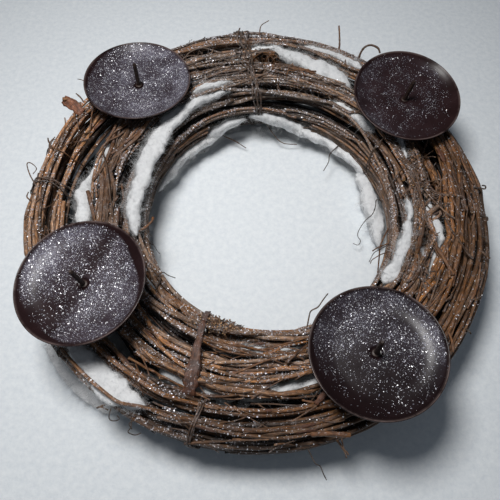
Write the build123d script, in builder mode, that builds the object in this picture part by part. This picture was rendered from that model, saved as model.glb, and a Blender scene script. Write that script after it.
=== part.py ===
# Advent candle holder: a wreath of wound vine rods, tied by twig wraps and a bark strip,
# with strips of white fleece tucked between the rods and four dished candle plates.
# Each plate turns on a pointed spike whose stem is pushed down between the rods and lifts out.
# Millimetres, +Z up, origin at the bottom centre of the whole object.
import math
import os

from build123d import *

os.makedirs("parts", exist_ok=True)

# ---------------------------------------------------------------- driving dimensions
SHIFT_X, SHIFT_Y = 3.805, -0.997  # puts the middle of the overall box on the origin
R_IN, R_OUT = 93.0, 165.0         # centre-line radii of the innermost and outermost rods
ECC_IN, ECC_OUT = 6.0, -2.5       # sideways offset of their centres: the left of the ring is thicker
ROD_R = 3.5                       # usual radius of a wound rod
WRAP_T = 2.8                      # thickness of a twig wrap
STRIP_T, STRIP_W = 2.0, 6.5       # bark strip
GAP = 0.3                         # room between neighbours

DISH_R = 39.5                     # candle plate, radius of the inner lip
DISH_DEPTH = 6.0                  # lip above the flat floor
DISH_FLOOR_R = 24.0               # radius of the flat floor
SHEET = 1.0                       # plate sheet thickness
DIMPLE_R, DIMPLE_D = 4.4, 1.0     # pressed dimple round the spike
HOLE_R = 1.60                     # plate hole
SHANK_R = 1.55                    # spike where the plate turns on it
SPIKE_R = 1.50                    # spike above the plate
SPIKE_H = 20.0                    # spike above the floor of the plate
STEM_R = 1.40                     # stem below the plate
STEM_L = 40.0                     # stem below the collar
COLLAR_R, COLLAR_H = 6.0, 3.0     # collar pressed on the spike under the plate
PLAY = 0.05                       # play between plate, swaged bead and collar


def ecc(radius):
    """Sideways offset of the centre of a rod wound at this radius."""
    return ECC_IN + (ECC_OUT - ECC_IN) * (radius - R_IN) / (R_OUT - R_IN)


def ring_plane(angle, radius=None):
    """Upright plane through the ring's section at this angle: x runs outwards, y up."""
    a = math.radians(angle)
    x = SHIFT_X + (0.0 if radius is None else ecc(radius))
    return Plane(
        origin=(x, SHIFT_Y, 0),
        x_dir=(math.cos(a), math.sin(a), 0),
        z_dir=(math.sin(a), -math.cos(a), 0),
    )


def ring_axis(radius):
    return Axis((SHIFT_X + ecc(radius), SHIFT_Y, 0), (0, 0, 1))


def reach(radius, angle):
    """Distance from the ring's middle to a rod wound at this radius, seen at this angle."""
    a, e = math.radians(angle), ecc(radius)
    return e * math.cos(a) + math.sqrt(radius**2 - (e * math.sin(a)) ** 2)


# ---------------------------------------------------------------- wound vine rods
# name: (winding radius, height, rod radius, angle of the first cut end, degrees wound)
VINES = {
    "inner_vine_lower": (93.0, 22.6, 3.4, 124, 308),
    "inner_vine_middle": (93.0, 30.6, 3.5, 123, 310),
    "inner_vine_upper": (93.0, 38.6, 3.4, 140, 344),
    "inner_vine_foot": (101.3, 14.6, 3.3, 75, 348),
    "inner_vine_heart": (101.3, 30.6, 3.5, 300, 346),
    "inner_vine_shoulder": (101.3, 46.6, 3.5, 205, 349),
    "core_vine_1": (109.6, 22.6, 3.5, 165, 345),
    "core_vine_2": (109.6, 38.6, 3.5, 10, 350),
    "core_vine_3": (117.9, 14.6, 3.3, 110, 347),
    "core_vine_4": (117.9, 30.6, 3.5, 330, 350),
    "core_vine_5": (130.6, 14.6, 3.4, 60, 346),
    "core_vine_6": (147.0, 30.6, 3.5, 120, 348),
    "crown_vine_inner": (109.6, 54.0, 3.5, 222, 347),
    "crown_vine_inner_low": (117.9, 47.4, 3.3, 52, 349),
    "crown_vine_outer_low": (147.0, 46.6, 3.5, 182, 348),
    "crown_vine_outer": (154.6, 53.4, 3.4, 250, 322),
    "base_vine_1": (109.6, 6.6, 3.5, 35, 349),
    "base_vine_2": (117.9, 6.6, 3.4, 190, 350),
    "base_vine_3": (126.4, 6.6, 3.5, 310, 348),
    "base_vine_4": (134.9, 6.6, 3.4, 95, 350),
    "base_vine_5": (147.0, 6.6, 3.4, 235, 349),
    "base_vine_6": (155.3, 6.6, 3.4, 15, 348),
    "outer_vine_foot": (163.4, 14.6, 3.4, 265, 350),
    "outer_vine_lower": (163.6, 22.6, 3.5, 100, 349),
    "outer_vine_middle": (163.6, 30.6, 3.5, 5, 350),
    "outer_vine_upper": (163.4, 38.6, 3.5, 250, 322),
    "outer_vine_shoulder": (161.0, 46.4, 3.4, 250, 322),
    "outer_vine_heart": (155.3, 38.6, 3.5, 60, 350),
    "outer_vine_heart_low": (155.3, 22.6, 3.5, 215, 348),
}
for name, (radius, height, rod, first, wound) in VINES.items():
    with BuildPart() as vine:
        with BuildSketch(ring_plane(first, radius)):
            with Locations((radius, height)):
                Circle(rod)
        revolve(axis=ring_axis(radius), revolution_arc=wound)
    vine.part.label = name
    export_step(vine.part, f"parts/{name}.step")

# ---------------------------------------------------------------- twig wraps and bark strip
def across(radius, angle, slant, far):
    """Place where a loop turned by slant about its outer leg crosses a rod, and how far its edges then swing."""
    a, s = math.radians(angle), math.radians(angle + slant)
    px, py = reach(far, angle) * math.cos(a) - ecc(radius), reach(far, angle) * math.sin(a)
    b = px * math.cos(s) + py * math.sin(s)
    t = -b + math.sqrt(b * b - (px * px + py * py - radius**2))
    local = s - math.atan2(py + t * math.sin(s), px + t * math.cos(s))
    return t, abs(math.tan(local)) * STRIP_W / 2 + ROD_R * (1 / math.cos(local) - 1) if slant else 0.0


# name: (angle at the outer leg, inner rod radius, outer rod radius, thickness, width, slant)
WRAPS = {
    "front_bark_strip": (-106.8, 93.0, 134.9, STRIP_T, STRIP_W, 9.0),
    "front_twig_wrap": (-102.6, 147.0, 163.6, WRAP_T, WRAP_T, 0.0),
    "back_twig_wrap": (97.5, 93.0, 163.6, WRAP_T, WRAP_T, 0.0),
    "left_upper_twig_wrap": (167.3, 147.0, 163.6, WRAP_T, WRAP_T, 0.0),
    "left_lower_twig_wrap": (177.4, 147.0, 163.6, WRAP_T, WRAP_T, 0.0),
    "right_twig_wrap": (31.0, 90.2, 134.9, WRAP_T, WRAP_T, 0.0),
}
WRAP_TOP = 58.4
for name, (angle, r_first, r_last, thick, width, slant) in WRAPS.items():
    (t_in, swing_in), (t_out, swing_out) = across(r_first, angle, slant, r_last), across(r_last, angle, slant, r_last)
    low, high = t_in - ROD_R - GAP - swing_in, t_out + ROD_R + GAP + swing_out
    wide, tall = high - low, WRAP_TOP - thick
    corner = ROD_R
    a, s, far = math.radians(angle), math.radians(angle + slant), reach(r_last, angle)
    leg = Plane(
        origin=(SHIFT_X + far * math.cos(a), SHIFT_Y + far * math.sin(a), 0),
        x_dir=(math.cos(s), math.sin(s), 0),
        z_dir=(math.sin(s), -math.cos(s), 0),
    )
    with BuildPart() as wrap:
        with BuildSketch(leg):
            with Locations(((low + high) / 2, thick + tall / 2)):
                RectangleRounded(wide + 2 * thick, tall + 2 * thick, corner + thick)
                RectangleRounded(wide, tall, corner, mode=Mode.SUBTRACT)
        extrude(amount=width / 2, both=True)
        sides = wrap.faces().filter_by(GeomType.PLANE).group_by(Face.area)[-1]
        fillet(sides.edges(), 0.35 * min(thick, width) if thick == WRAP_T else 0.4)
    wrap.part.label = name
    export_step(wrap.part, f"parts/{name}.step")

# ---------------------------------------------------------------- fleece strips
# name: (winding radius, height, half width, half height, first angle, last angle)
FLEECE = {
    "fleece_crest_left": (97.0, 54.4, 6.4, 3.3, 108, 200),
    "fleece_crest_right": (98.8, 55.4, 5.0, 3.3, -38, 2),
    "fleece_inner_left": (91.0, 12.4, 4.0, 6.2, 122, 164),
    "fleece_inner_back": (92.0, 12.6, 4.0, 6.2, 33, 73),
    "fleece_inner_right": (88.4, 9.5, 6.3, 7.5, -8, 29),
    "fleece_back_left": (92.6, 25.4, 3.9, 6.4, 104, 121),
    "fleece_back_right": (92.6, 25.8, 3.9, 6.6, 75, 98),
    "fleece_crown_back": (132.4, 51.0, 10.3, 4.6, 58, 90),
    "fleece_channel_left": (127.6, 40.0, 5.4, 9.0, 156, 200),
    "fleece_channel_right": (126.4, 40.0, 4.6, 9.0, -26, 4),
    "fleece_channel_front": (132.6, 36.0, 4.6, 8.0, -118, -70),
    "fleece_pocket_left": (159.2, 47.6, 8.0, 4.0, 215, 246),
    "fleece_outer_left": (171.5, 3.4, 8.5, 2.6, 212, 238),
}
for name, (radius, height, half_w, half_h, first, last) in FLEECE.items():
    with BuildPart() as fleece:
        with BuildSketch(ring_plane(first, radius)):
            with Locations((radius, height)):
                Ellipse(half_w, half_h)
        revolve(axis=ring_axis(radius), revolution_arc=last - first)
    fleece.part.label = name
    export_step(fleece.part, f"parts/{name}.step")

# ---------------------------------------------------------------- candle plates on their spikes
# name: centre of the lip, and the lean of the plate's axis in x and y per unit of height
PLATES = {
    "back_left": ((-97.3, 92.3, 69.0), (0.019, 0.061)),
    "back_right": ((106.6, 83.8, 73.4), (0.042, -0.059)),
    "front_left": ((-107.9, -75.9, 79.8), (-0.081, 0.011)),
    "front_right": ((69.9, -109.9, 76.4), (-0.084, 0.083)),
}
FLOOR = -DISH_DEPTH                        # heights along the plate's axis, from the lip
DIMPLE = FLOOR - DIMPLE_D
UNDER = DIMPLE - SHEET
BEAD_TOP = FLOOR + 0.1
TIP = FLOOR + SPIKE_H
COLLAR_TOP = UNDER - PLAY
COLLAR_LOW = COLLAR_TOP - COLLAR_H
STEM_LOW = COLLAR_LOW - STEM_L
for place, ((x, y, z), (lean_x, lean_y)) in PLATES.items():
    upright = Plane(origin=(x + SHIFT_X, y + SHIFT_Y, z), z_dir=(lean_x, lean_y, 1.0))
    section = Plane(origin=upright.origin, x_dir=upright.x_dir, z_dir=-upright.y_dir)
    turning = Axis(upright.origin, upright.z_dir)

    # pressed sheet dish: flat floor, flared side, dimple with a plain hole
    flare = (DISH_R - DISH_FLOOR_R) ** 2 + DISH_DEPTH**2
    flare_r = flare / (2 * DISH_DEPTH)
    flare_a = 2 * math.atan2(DISH_DEPTH, DISH_R - DISH_FLOOR_R)
    lip_under = (
        DISH_FLOOR_R + (flare_r + SHEET) * math.sin(flare_a),
        FLOOR + flare_r - (flare_r + SHEET) * math.cos(flare_a),
    )
    with BuildPart() as dish:
        with BuildSketch(section):
            with BuildLine():
                Polyline(
                    (HOLE_R, UNDER),
                    (HOLE_R, DIMPLE),
                    (DIMPLE_R - 1.2, DIMPLE),
                    (DIMPLE_R, FLOOR),
                    (DISH_FLOOR_R, FLOOR),
                )
                TangentArc((DISH_FLOOR_R, FLOOR), (DISH_R, 0), tangent=(1, 0))
                Line((DISH_R, 0), lip_under)
                TangentArc((DISH_FLOOR_R, FLOOR - SHEET), lip_under, tangent=(1, 0))
                Polyline(
                    (DISH_FLOOR_R, FLOOR - SHEET),
                    (DIMPLE_R - 0.4, FLOOR - SHEET),
                    (DIMPLE_R - 1.6, UNDER),
                    (HOLE_R, UNDER),
                )
            make_face()
        revolve(axis=turning)
        lip = dish.edges().filter_by(GeomType.CIRCLE).group_by(SortBy.RADIUS)[-2:]
        fillet(lip[0] + lip[1], 0.35)
    dish.part.label = f"{place}_dish"
    export_step(dish.part, f"parts/{place}_dish.step")

    # one rod: blunt spike, swaged bead, shank, stem and point
    with BuildPart() as spike:
        with BuildSketch(section):
            with BuildLine():
                Polyline(
                    (0, TIP),
                    (0.8, TIP),
                    (SPIKE_R, TIP - 1.6),
                    (SPIKE_R, BEAD_TOP),
                    (2.4, BEAD_TOP - 0.3),
                    (2.4, DIMPLE + PLAY),
                    (SHANK_R, DIMPLE + PLAY),
                    (SHANK_R, COLLAR_LOW),
                    (STEM_R, COLLAR_LOW - 0.5),
                    (STEM_R, STEM_LOW + 7.0),
                    (0.3, STEM_LOW),
                    (0, STEM_LOW),
                    close=True,
                )
            make_face()
        revolve(axis=turning)
    spike.part.label = f"{place}_spike"
    export_step(spike.part, f"parts/{place}_spike.step")

    # collar pressed on the shank, which carries the plate
    with BuildPart() as collar:
        with BuildSketch(section):
            with BuildLine():
                Polyline(
                    (SHANK_R, COLLAR_TOP),
                    (COLLAR_R - 0.6, COLLAR_TOP),
                    (COLLAR_R, COLLAR_TOP - 0.6),
                    (COLLAR_R, COLLAR_LOW + 0.6),
                    (COLLAR_R - 0.6, COLLAR_LOW),
                    (SHANK_R, COLLAR_LOW),
                    close=True,
                )
            make_face()
        revolve(axis=turning)
    collar.part.label = f"{place}_collar"
    export_step(collar.part, f"parts/{place}_collar.step")

    n = upright.z_dir
    print(place, "lip centre", tuple(round(v, 4) for v in upright.origin), "axis", tuple(round(v, 8) for v in n))
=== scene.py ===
import math

import bpy
import numpy as np
from mathutils import Matrix, Vector, noise


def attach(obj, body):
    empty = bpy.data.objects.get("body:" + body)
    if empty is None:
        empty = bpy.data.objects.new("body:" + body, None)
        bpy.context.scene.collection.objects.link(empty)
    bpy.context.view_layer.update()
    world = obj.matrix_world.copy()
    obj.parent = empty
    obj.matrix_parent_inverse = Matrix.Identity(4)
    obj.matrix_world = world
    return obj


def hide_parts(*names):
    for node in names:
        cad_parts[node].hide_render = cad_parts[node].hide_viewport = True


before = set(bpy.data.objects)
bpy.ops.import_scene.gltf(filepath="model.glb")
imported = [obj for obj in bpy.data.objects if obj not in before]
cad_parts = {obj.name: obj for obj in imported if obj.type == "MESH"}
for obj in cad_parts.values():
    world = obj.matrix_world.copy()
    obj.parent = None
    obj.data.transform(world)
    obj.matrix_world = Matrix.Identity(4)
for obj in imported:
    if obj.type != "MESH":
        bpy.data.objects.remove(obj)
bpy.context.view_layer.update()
scene = bpy.context.scene
rng = np.random.default_rng(41)

# ------------------------------------------------------------------ ring geometry, millimetres
MM = 0.001
SX, SY = 3.805, -0.997
R_IN, R_OUT, E_IN, E_OUT = 93.0, 165.0, 6.0, -2.5
SLOPE = (E_OUT - E_IN) / (R_OUT - R_IN)
Z = np.array([0.0, 0.0, 1.0])


def ecc(R):
    return E_IN + SLOPE * (R - R_IN)


def ring(R, th, z):
    return np.stack([SX + ecc(R) + R * np.cos(th), SY + R * np.sin(th), z + 0 * R], -1)


def unring(p):
    """Winding radius and angle of points given in the row frame."""
    x, y = p[..., 0] - SX, p[..., 1] - SY
    R = np.hypot(x, y)
    for _ in range(12):
        R = np.hypot(x - ecc(R), y)
    return R, np.arctan2(y, x - ecc(R))


# ------------------------------------------------------------------ camera
FOCAL = 480.683
CAM = np.array([-6.303 + SX, -172.983 + SY, 352.078])
FWD = np.array([0.0, 0.40654835, -0.91362927])
RIGHT = np.array([0.99921453, 0.03620475, 0.01611045])
UP = np.array([-0.0396274, 0.91291164, 0.40622902])


def px(u, v, z):
    """Point at height z that the camera sees at this place in the 500 x 500 frame."""
    ray = FWD * FOCAL + RIGHT * (u - 250.0) - UP * (v - 250.0)
    return CAM + ray * ((z - CAM[2]) / ray[2])


def proj(p):
    """Place in the 500 x 500 frame, and distance along the view."""
    d = p - CAM
    w = d @ FWD
    return 250 + FOCAL * (d @ RIGHT) / w, 250 - FOCAL * (d @ UP) / w, w


cam = bpy.data.objects.new("camera", bpy.data.cameras.new("camera"))
scene.collection.objects.link(cam)
cam.data.sensor_fit = "HORIZONTAL"
cam.data.sensor_width = 36.0
cam.data.lens = FOCAL * 36.0 / 500.0
cam.data.clip_start, cam.data.clip_end = 0.01, 20.0
basis = Matrix((RIGHT.tolist(), UP.tolist(), (-FWD).tolist())).transposed().to_4x4()
cam.matrix_world = Matrix.Translation(Vector(CAM * MM)) @ basis
scene.camera = cam


# ------------------------------------------------------------------ mesh collector
class Build:
    def __init__(self):
        self.v, self.tone, self.q, self.t, self.quv, self.tuv = [], [], [], [], [], []
        self.n = 0

    def add(self, v, tone, q=None, quv=None, t=None, tuv=None):
        self.v.append(np.asarray(v, np.float64).reshape(-1, 3))
        self.tone.append(np.asarray(tone, np.float64).reshape(-1, 4))
        if q is not None and len(q):
            self.q.append(np.asarray(q, np.int64) + self.n)
            self.quv.append(np.asarray(quv, np.float64).reshape(-1, 4, 2))
        if t is not None and len(t):
            self.t.append(np.asarray(t, np.int64) + self.n)
            self.tuv.append(np.asarray(tuv, np.float64).reshape(-1, 3, 2))
        self.n += len(self.v[-1])

    def make(self, name, material, body, slot, nodes=(), smooth=True):
        v = np.concatenate(self.v) * MM
        q = np.concatenate(self.q) if self.q else np.zeros((0, 4), np.int64)
        t = np.concatenate(self.t) if self.t else np.zeros((0, 3), np.int64)
        uv = np.concatenate(
            [np.concatenate(self.quv).reshape(-1, 2) if self.quv else np.zeros((0, 2)),
             np.concatenate(self.tuv).reshape(-1, 2) if self.tuv else np.zeros((0, 2))]
        )
        me = bpy.data.meshes.new(name)
        me.vertices.add(len(v))
        me.vertices.foreach_set("co", v.astype(np.float32).ravel())
        loops = np.concatenate([q.ravel(), t.ravel()])
        me.loops.add(len(loops))
        me.loops.foreach_set("vertex_index", loops.astype(np.int32))
        me.polygons.add(len(q) + len(t))
        start = np.concatenate([np.arange(len(q)) * 4, len(q) * 4 + np.arange(len(t)) * 3])
        me.polygons.foreach_set("loop_start", start.astype(np.int32))
        me.polygons.foreach_set("use_smooth", np.full(len(q) + len(t), smooth))
        me.update(calc_edges=True)
        layer = me.uv_layers.new(name="UVMap")
        layer.data.foreach_set("uv", uv.astype(np.float32).ravel())
        att = me.attributes.new("tone", "FLOAT_COLOR", "POINT")
        att.data.foreach_set("color", np.concatenate(self.tone).astype(np.float32).ravel())
        me.materials.append(material)
        ob = bpy.data.objects.new(name, me)
        scene.collection.objects.link(ob)
        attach(ob, body)
        if nodes:
            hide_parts(*nodes)
        return ob


def unit(a):
    return a / np.maximum(np.linalg.norm(a, axis=-1, keepdims=True), 1e-12)


def lerp_rows(g, n):
    x = np.linspace(0, len(g) - 1, n)
    i = np.minimum(x.astype(int), len(g) - 2)
    f = (x - i)[:, None]
    return g[i] * (1 - f) + g[i + 1] * f


def frames(path, ring_like):
    T = unit(np.gradient(path, axis=0))
    if ring_like:
        S = unit(np.cross(T, Z))
    else:
        S = np.zeros_like(T)
        a = np.cross(T[0], Z)
        if np.linalg.norm(a) < 0.2:
            a = np.cross(T[0], np.array([1.0, 0, 0]))
        S[0] = a / np.linalg.norm(a)
        for i in range(1, len(T)):
            s = S[i - 1] - T[i] * np.dot(S[i - 1], T[i])
            S[i] = s / max(np.linalg.norm(s), 1e-9)
    return T, S, np.cross(S, T)


SKIN = []          # sampled surface points of the stems: position, outward direction, dust, stem direction


def spread(x, n):
    return np.concatenate([[x[0]], x, [x[-1]]]) if np.ndim(x) else np.full(n, float(x))


def tube(b, path, rad, sides, hue=0.5, dark=1.0, dust=0.0, ridge=0.07, ring_like=False, keep=False, cut=1.0):
    """One stem: a closed tube with slow ridges along its bark and a flat cut at each end."""
    path, rad = np.asarray(path, float), np.asarray(rad, float)
    t0, t1 = unit(path[0] - path[1]), unit(path[-1] - path[-2])
    path = np.concatenate([[path[0] + t0 * rad[0] * 0.18], path, [path[-1] + t1 * rad[-1] * 0.18]])
    rad = np.concatenate([[rad[0] * 0.9], rad, [rad[-1] * 0.9]])
    n = len(path)
    hue, dark, dust = spread(hue, n), spread(dark, n), spread(dust, n)
    T, S, U = frames(path, ring_like)
    ang = 2 * np.pi * np.arange(sides) / sides + rng.uniform(0, 6.28)
    if ring_like:
        ang = ang[None, :] + np.linspace(0, rng.uniform(-5, 5), n)[:, None]
    else:
        ang = np.repeat(ang[None, :], n, 0)
    rg = lerp_rows(rng.normal(size=(max(2, n // 4), sides)), n)
    rr = rad[:, None] * (1 + ridge * (0.7 * rng.normal(size=sides)[None, :] + 0.7 * rg))
    out = np.cos(ang)[:, :, None] * S[:, None, :] + np.sin(ang)[:, :, None] * U[:, None, :]
    V = path[:, None, :] + rr[:, :, None] * out
    s = np.concatenate([[0], np.cumsum(np.linalg.norm(np.diff(path, axis=0), axis=1))])
    j, k = np.meshgrid(np.arange(n - 1), np.arange(sides), indexing="ij")
    k2 = (k + 1) % sides
    q = np.stack([j * sides + k, (j + 1) * sides + k, (j + 1) * sides + k2, j * sides + k2], -1).reshape(-1, 4)
    uo, vo = rng.uniform(0, 5, 2)
    girth = 2 * np.pi * rad.mean()
    uu = s * MM + uo
    vv = np.arange(sides + 1) / sides * girth * MM + vo
    quv = np.stack(
        [np.stack([uu[j], vv[k]], -1), np.stack([uu[j + 1], vv[k]], -1),
         np.stack([uu[j + 1], vv[k + 1]], -1), np.stack([uu[j], vv[k + 1]], -1)], -2
    ).reshape(-1, 4, 2)
    tone = np.zeros((n, sides, 4))
    tone[..., 0], tone[..., 1], tone[..., 2] = hue[:, None], dark[:, None], dust[:, None]
    verts, tones = [V.reshape(-1, 3)], [tone.reshape(-1, 4)]
    quads, quvs, tris, tuvs = [q], [quv], [], []
    base = n * sides
    for end in (0, n - 1):
        inner = path[end] + (V[end] - path[end]) * 0.72
        verts += [inner, path[end][None]]
        ct = np.array([[hue[end], dark[end], dust[end], cut]])
        tones += [np.repeat(ct, sides, 0), ct]
        a, c = end * sides + np.arange(sides), base + np.arange(sides)
        a2, c2 = np.roll(a, -1), np.roll(c, -1)
        mid = np.full(sides, base + sides)
        ring_uv = np.stack([np.cos(ang[end]), np.sin(ang[end])], -1) * rad[end] * MM
        r2 = np.roll(ring_uv, -1, 0)
        if end == 0:
            quads.append(np.stack([a, a2, c2, c], -1))
            quvs.append(np.stack([ring_uv, r2, r2 * 0.72, ring_uv * 0.72], 1))
            tris.append(np.stack([mid, c, c2], -1))
            tuvs.append(np.stack([ring_uv * 0, ring_uv * 0.72, r2 * 0.72], 1))
        else:
            quads.append(np.stack([a2, a, c, c2], -1))
            quvs.append(np.stack([r2, ring_uv, ring_uv * 0.72, r2 * 0.72], 1))
            tris.append(np.stack([mid, c2, c], -1))
            tuvs.append(np.stack([ring_uv * 0, r2 * 0.72, ring_uv * 0.72], 1))
        base += sides + 1
    b.add(np.concatenate(verts), np.concatenate(tones), np.concatenate(quads), np.concatenate(quvs), np.concatenate(tris), np.concatenate(tuvs))
    if keep:
        m = out[..., 2] > -0.1
        SKIN.append((V[m], out[m], np.repeat(dust[:, None], sides, 1)[m], np.repeat(T[:, None], sides, 1)[m]))


def hairs(b, p0, d, bend, L, r, dust=0.1):
    """Many fine fibres at once: closed three-sided threads, each with its own bend, clear of the plates."""
    ok = np.ones(len(p0), bool)
    for k in PLATES:
        for f in (0.0, 0.5, 1.0):
            q = p0 + d * (L * f)[:, None] + bend * (L * f**2)[:, None] - LIPS[k]
            h = q @ AXES[k]
            ok &= (h < -9.0) | (np.linalg.norm(q - h[:, None] * AXES[k], axis=1) > 41.0)
    p0, d, bend, L, r = p0[ok], d[ok], bend[ok], L[ok], r[ok]
    n, m = len(p0), 4
    s = np.linspace(0, 1, m)
    path = p0[:, None] + d[:, None] * (L[:, None] * s)[..., None] + bend[:, None] * (L[:, None] * s**2)[..., None]
    path[..., 2] = np.maximum(path[..., 2], 0.25)
    T = unit(np.gradient(path, axis=1))
    S = unit(np.cross(T, unit(rng.normal(size=(n, 1, 3)))))
    U = np.cross(S, T)
    rad = r[:, None] * (1 - 0.55 * s)
    ang = 2 * np.pi * np.arange(3) / 3
    V = path[:, :, None] + rad[:, :, None, None] * (np.cos(ang)[:, None] * S[:, :, None] + np.sin(ang)[:, None] * U[:, :, None])
    j, k = np.meshgrid(np.arange(m - 1), np.arange(3), indexing="ij")
    k2 = (k + 1) % 3
    q = np.stack([j * 3 + k, (j + 1) * 3 + k, (j + 1) * 3 + k2, j * 3 + k2], -1).reshape(-1, 4)
    e = 3 * (m - 1)
    t = np.array([[0, 1, 2], [e + 2, e + 1, e]])
    o = np.arange(n)[:, None, None] * 3 * m
    quv = np.tile(np.array([[0, 0], [0.001, 0], [0.001, 0.0003], [0, 0.0003]]), (n * len(q), 1, 1))
    tone = np.tile([0.0, 0.86, dust, 0.0], (n * 3 * m, 1))
    b.add(V.reshape(-1, 3), tone, (q[None] + o).reshape(-1, 4), quv, (t[None] + o).reshape(-1, 3), np.zeros((2 * n, 3, 2)))


def smooth_path(points, step=1.0):
    """Catmull-Rom curve through the points, sampled about every step."""
    p = np.asarray(points, float)
    p = np.concatenate([[2 * p[0] - p[1]], p, [2 * p[-1] - p[-2]]])
    out = []
    for i in range(1, len(p) - 2):
        a, b_, c, d = p[i - 1], p[i], p[i + 1], p[i + 2]
        n = max(2, int(np.linalg.norm(c - b_) / step))
        t = np.linspace(0, 1, n, endpoint=False)[:, None]
        out.append(0.5 * (2 * b_ + (c - a) * t + (2 * a - 5 * b_ + 4 * c - d) * t**2 + (3 * b_ - a - 3 * c + d) * t**3))
    out.append(p[-2][None])
    return np.concatenate(out)


# ------------------------------------------------------------------ materials
def srgb(r, g, b):
    f = lambda c: c / 255 / 12.92 if c <= 10.31 else ((c / 255 + 0.055) / 1.055) ** 2.4
    return (f(r), f(g), f(b), 1.0)


class Mat:
    def __init__(self, name):
        self.m = bpy.data.materials.new(name)
        self.m.use_nodes = True
        self.t = self.m.node_tree
        self.t.nodes.clear()
        self.out = self.node("ShaderNodeOutputMaterial")
        self.p = self.node("ShaderNodeBsdfPrincipled")
        self.link(self.p.outputs["BSDF"], self.out.inputs["Surface"])

    def node(self, kind, **props):
        n = self.t.nodes.new(kind)
        for k, v in props.items():
            setattr(n, k, v)
        return n

    def link(self, a, b):
        self.t.links.new(a, b)

    def put(self, socket, value):
        if isinstance(value, bpy.types.NodeSocket):
            self.link(value, socket)
        else:
            socket.default_value = value

    def math(self, op, a, b=0.0, clamp=False):
        n = self.node("ShaderNodeMath", operation=op, use_clamp=clamp)
        self.put(n.inputs[0], a)
        self.put(n.inputs[1], b)
        return n.outputs[0]

    def mix(self, f, a, b, blend="MIX"):
        n = self.node("ShaderNodeMix", data_type="RGBA", blend_type=blend, clamp_factor=True)
        self.put(n.inputs[0], f)
        self.put(n.inputs[6], a)
        self.put(n.inputs[7], b)
        return n.outputs[2]

    def ramp(self, f, stops, mode="LINEAR"):
        n = self.node("ShaderNodeValToRGB")
        n.color_ramp.interpolation = mode
        e = n.color_ramp.elements
        while len(e) < len(stops):
            e.new(0.5)
        for x, (pos, col) in zip(e, stops):
            x.position, x.color = pos, col if len(col) == 4 else (*col, 1.0)
        self.put(n.inputs[0], f)
        return n.outputs[0]

    def level(self, f, lo, hi):
        """0 below lo, 1 above hi, smooth between."""
        n = self.node("ShaderNodeMapRange", interpolation_type="SMOOTHSTEP", clamp=True)
        self.put(n.inputs[0], f)
        n.inputs[1].default_value, n.inputs[2].default_value = lo, hi
        return n.outputs[0]

    def uv(self, scale):
        c = self.node("ShaderNodeUVMap", uv_map="UVMap")
        m = self.node("ShaderNodeMapping")
        m.inputs["Scale"].default_value = scale
        self.link(c.outputs[0], m.inputs[0])
        return m.outputs[0]

    def place(self, scale):
        c = self.node("ShaderNodeTexCoord")
        m = self.node("ShaderNodeMapping")
        m.inputs["Scale"].default_value = (scale,) * 3
        self.link(c.outputs["Object"], m.inputs[0])
        return m.outputs[0]

    def noise(self, vec, scale=1.0, detail=4.0, rough=0.55, distort=0.0):
        n = self.node("ShaderNodeTexNoise")
        n.inputs["Scale"].default_value = scale
        n.inputs["Detail"].default_value = detail
        n.inputs["Roughness"].default_value = rough
        n.inputs["Distortion"].default_value = distort
        self.link(vec, n.inputs["Vector"])
        return n.outputs[0]

    def cells(self, vec, scale=1.0):
        n = self.node("ShaderNodeTexVoronoi", feature="F1")
        n.inputs["Scale"].default_value = scale
        self.link(vec, n.inputs["Vector"])
        return n.outputs["Distance"], n.outputs["Color"]

    def tone(self):
        a = self.node("ShaderNodeAttribute", attribute_name="tone")
        s = self.node("ShaderNodeSeparateColor")
        self.link(a.outputs["Color"], s.inputs[0])
        return s.outputs[0], s.outputs[1], s.outputs[2], a.outputs["Alpha"]

    def bump(self, height, distance, strength=1.0):
        n = self.node("ShaderNodeBump")
        n.inputs["Distance"].default_value = distance
        n.inputs["Strength"].default_value = strength
        self.link(height, n.inputs["Height"])
        self.link(n.outputs[0], self.p.inputs["Normal"])


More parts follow.
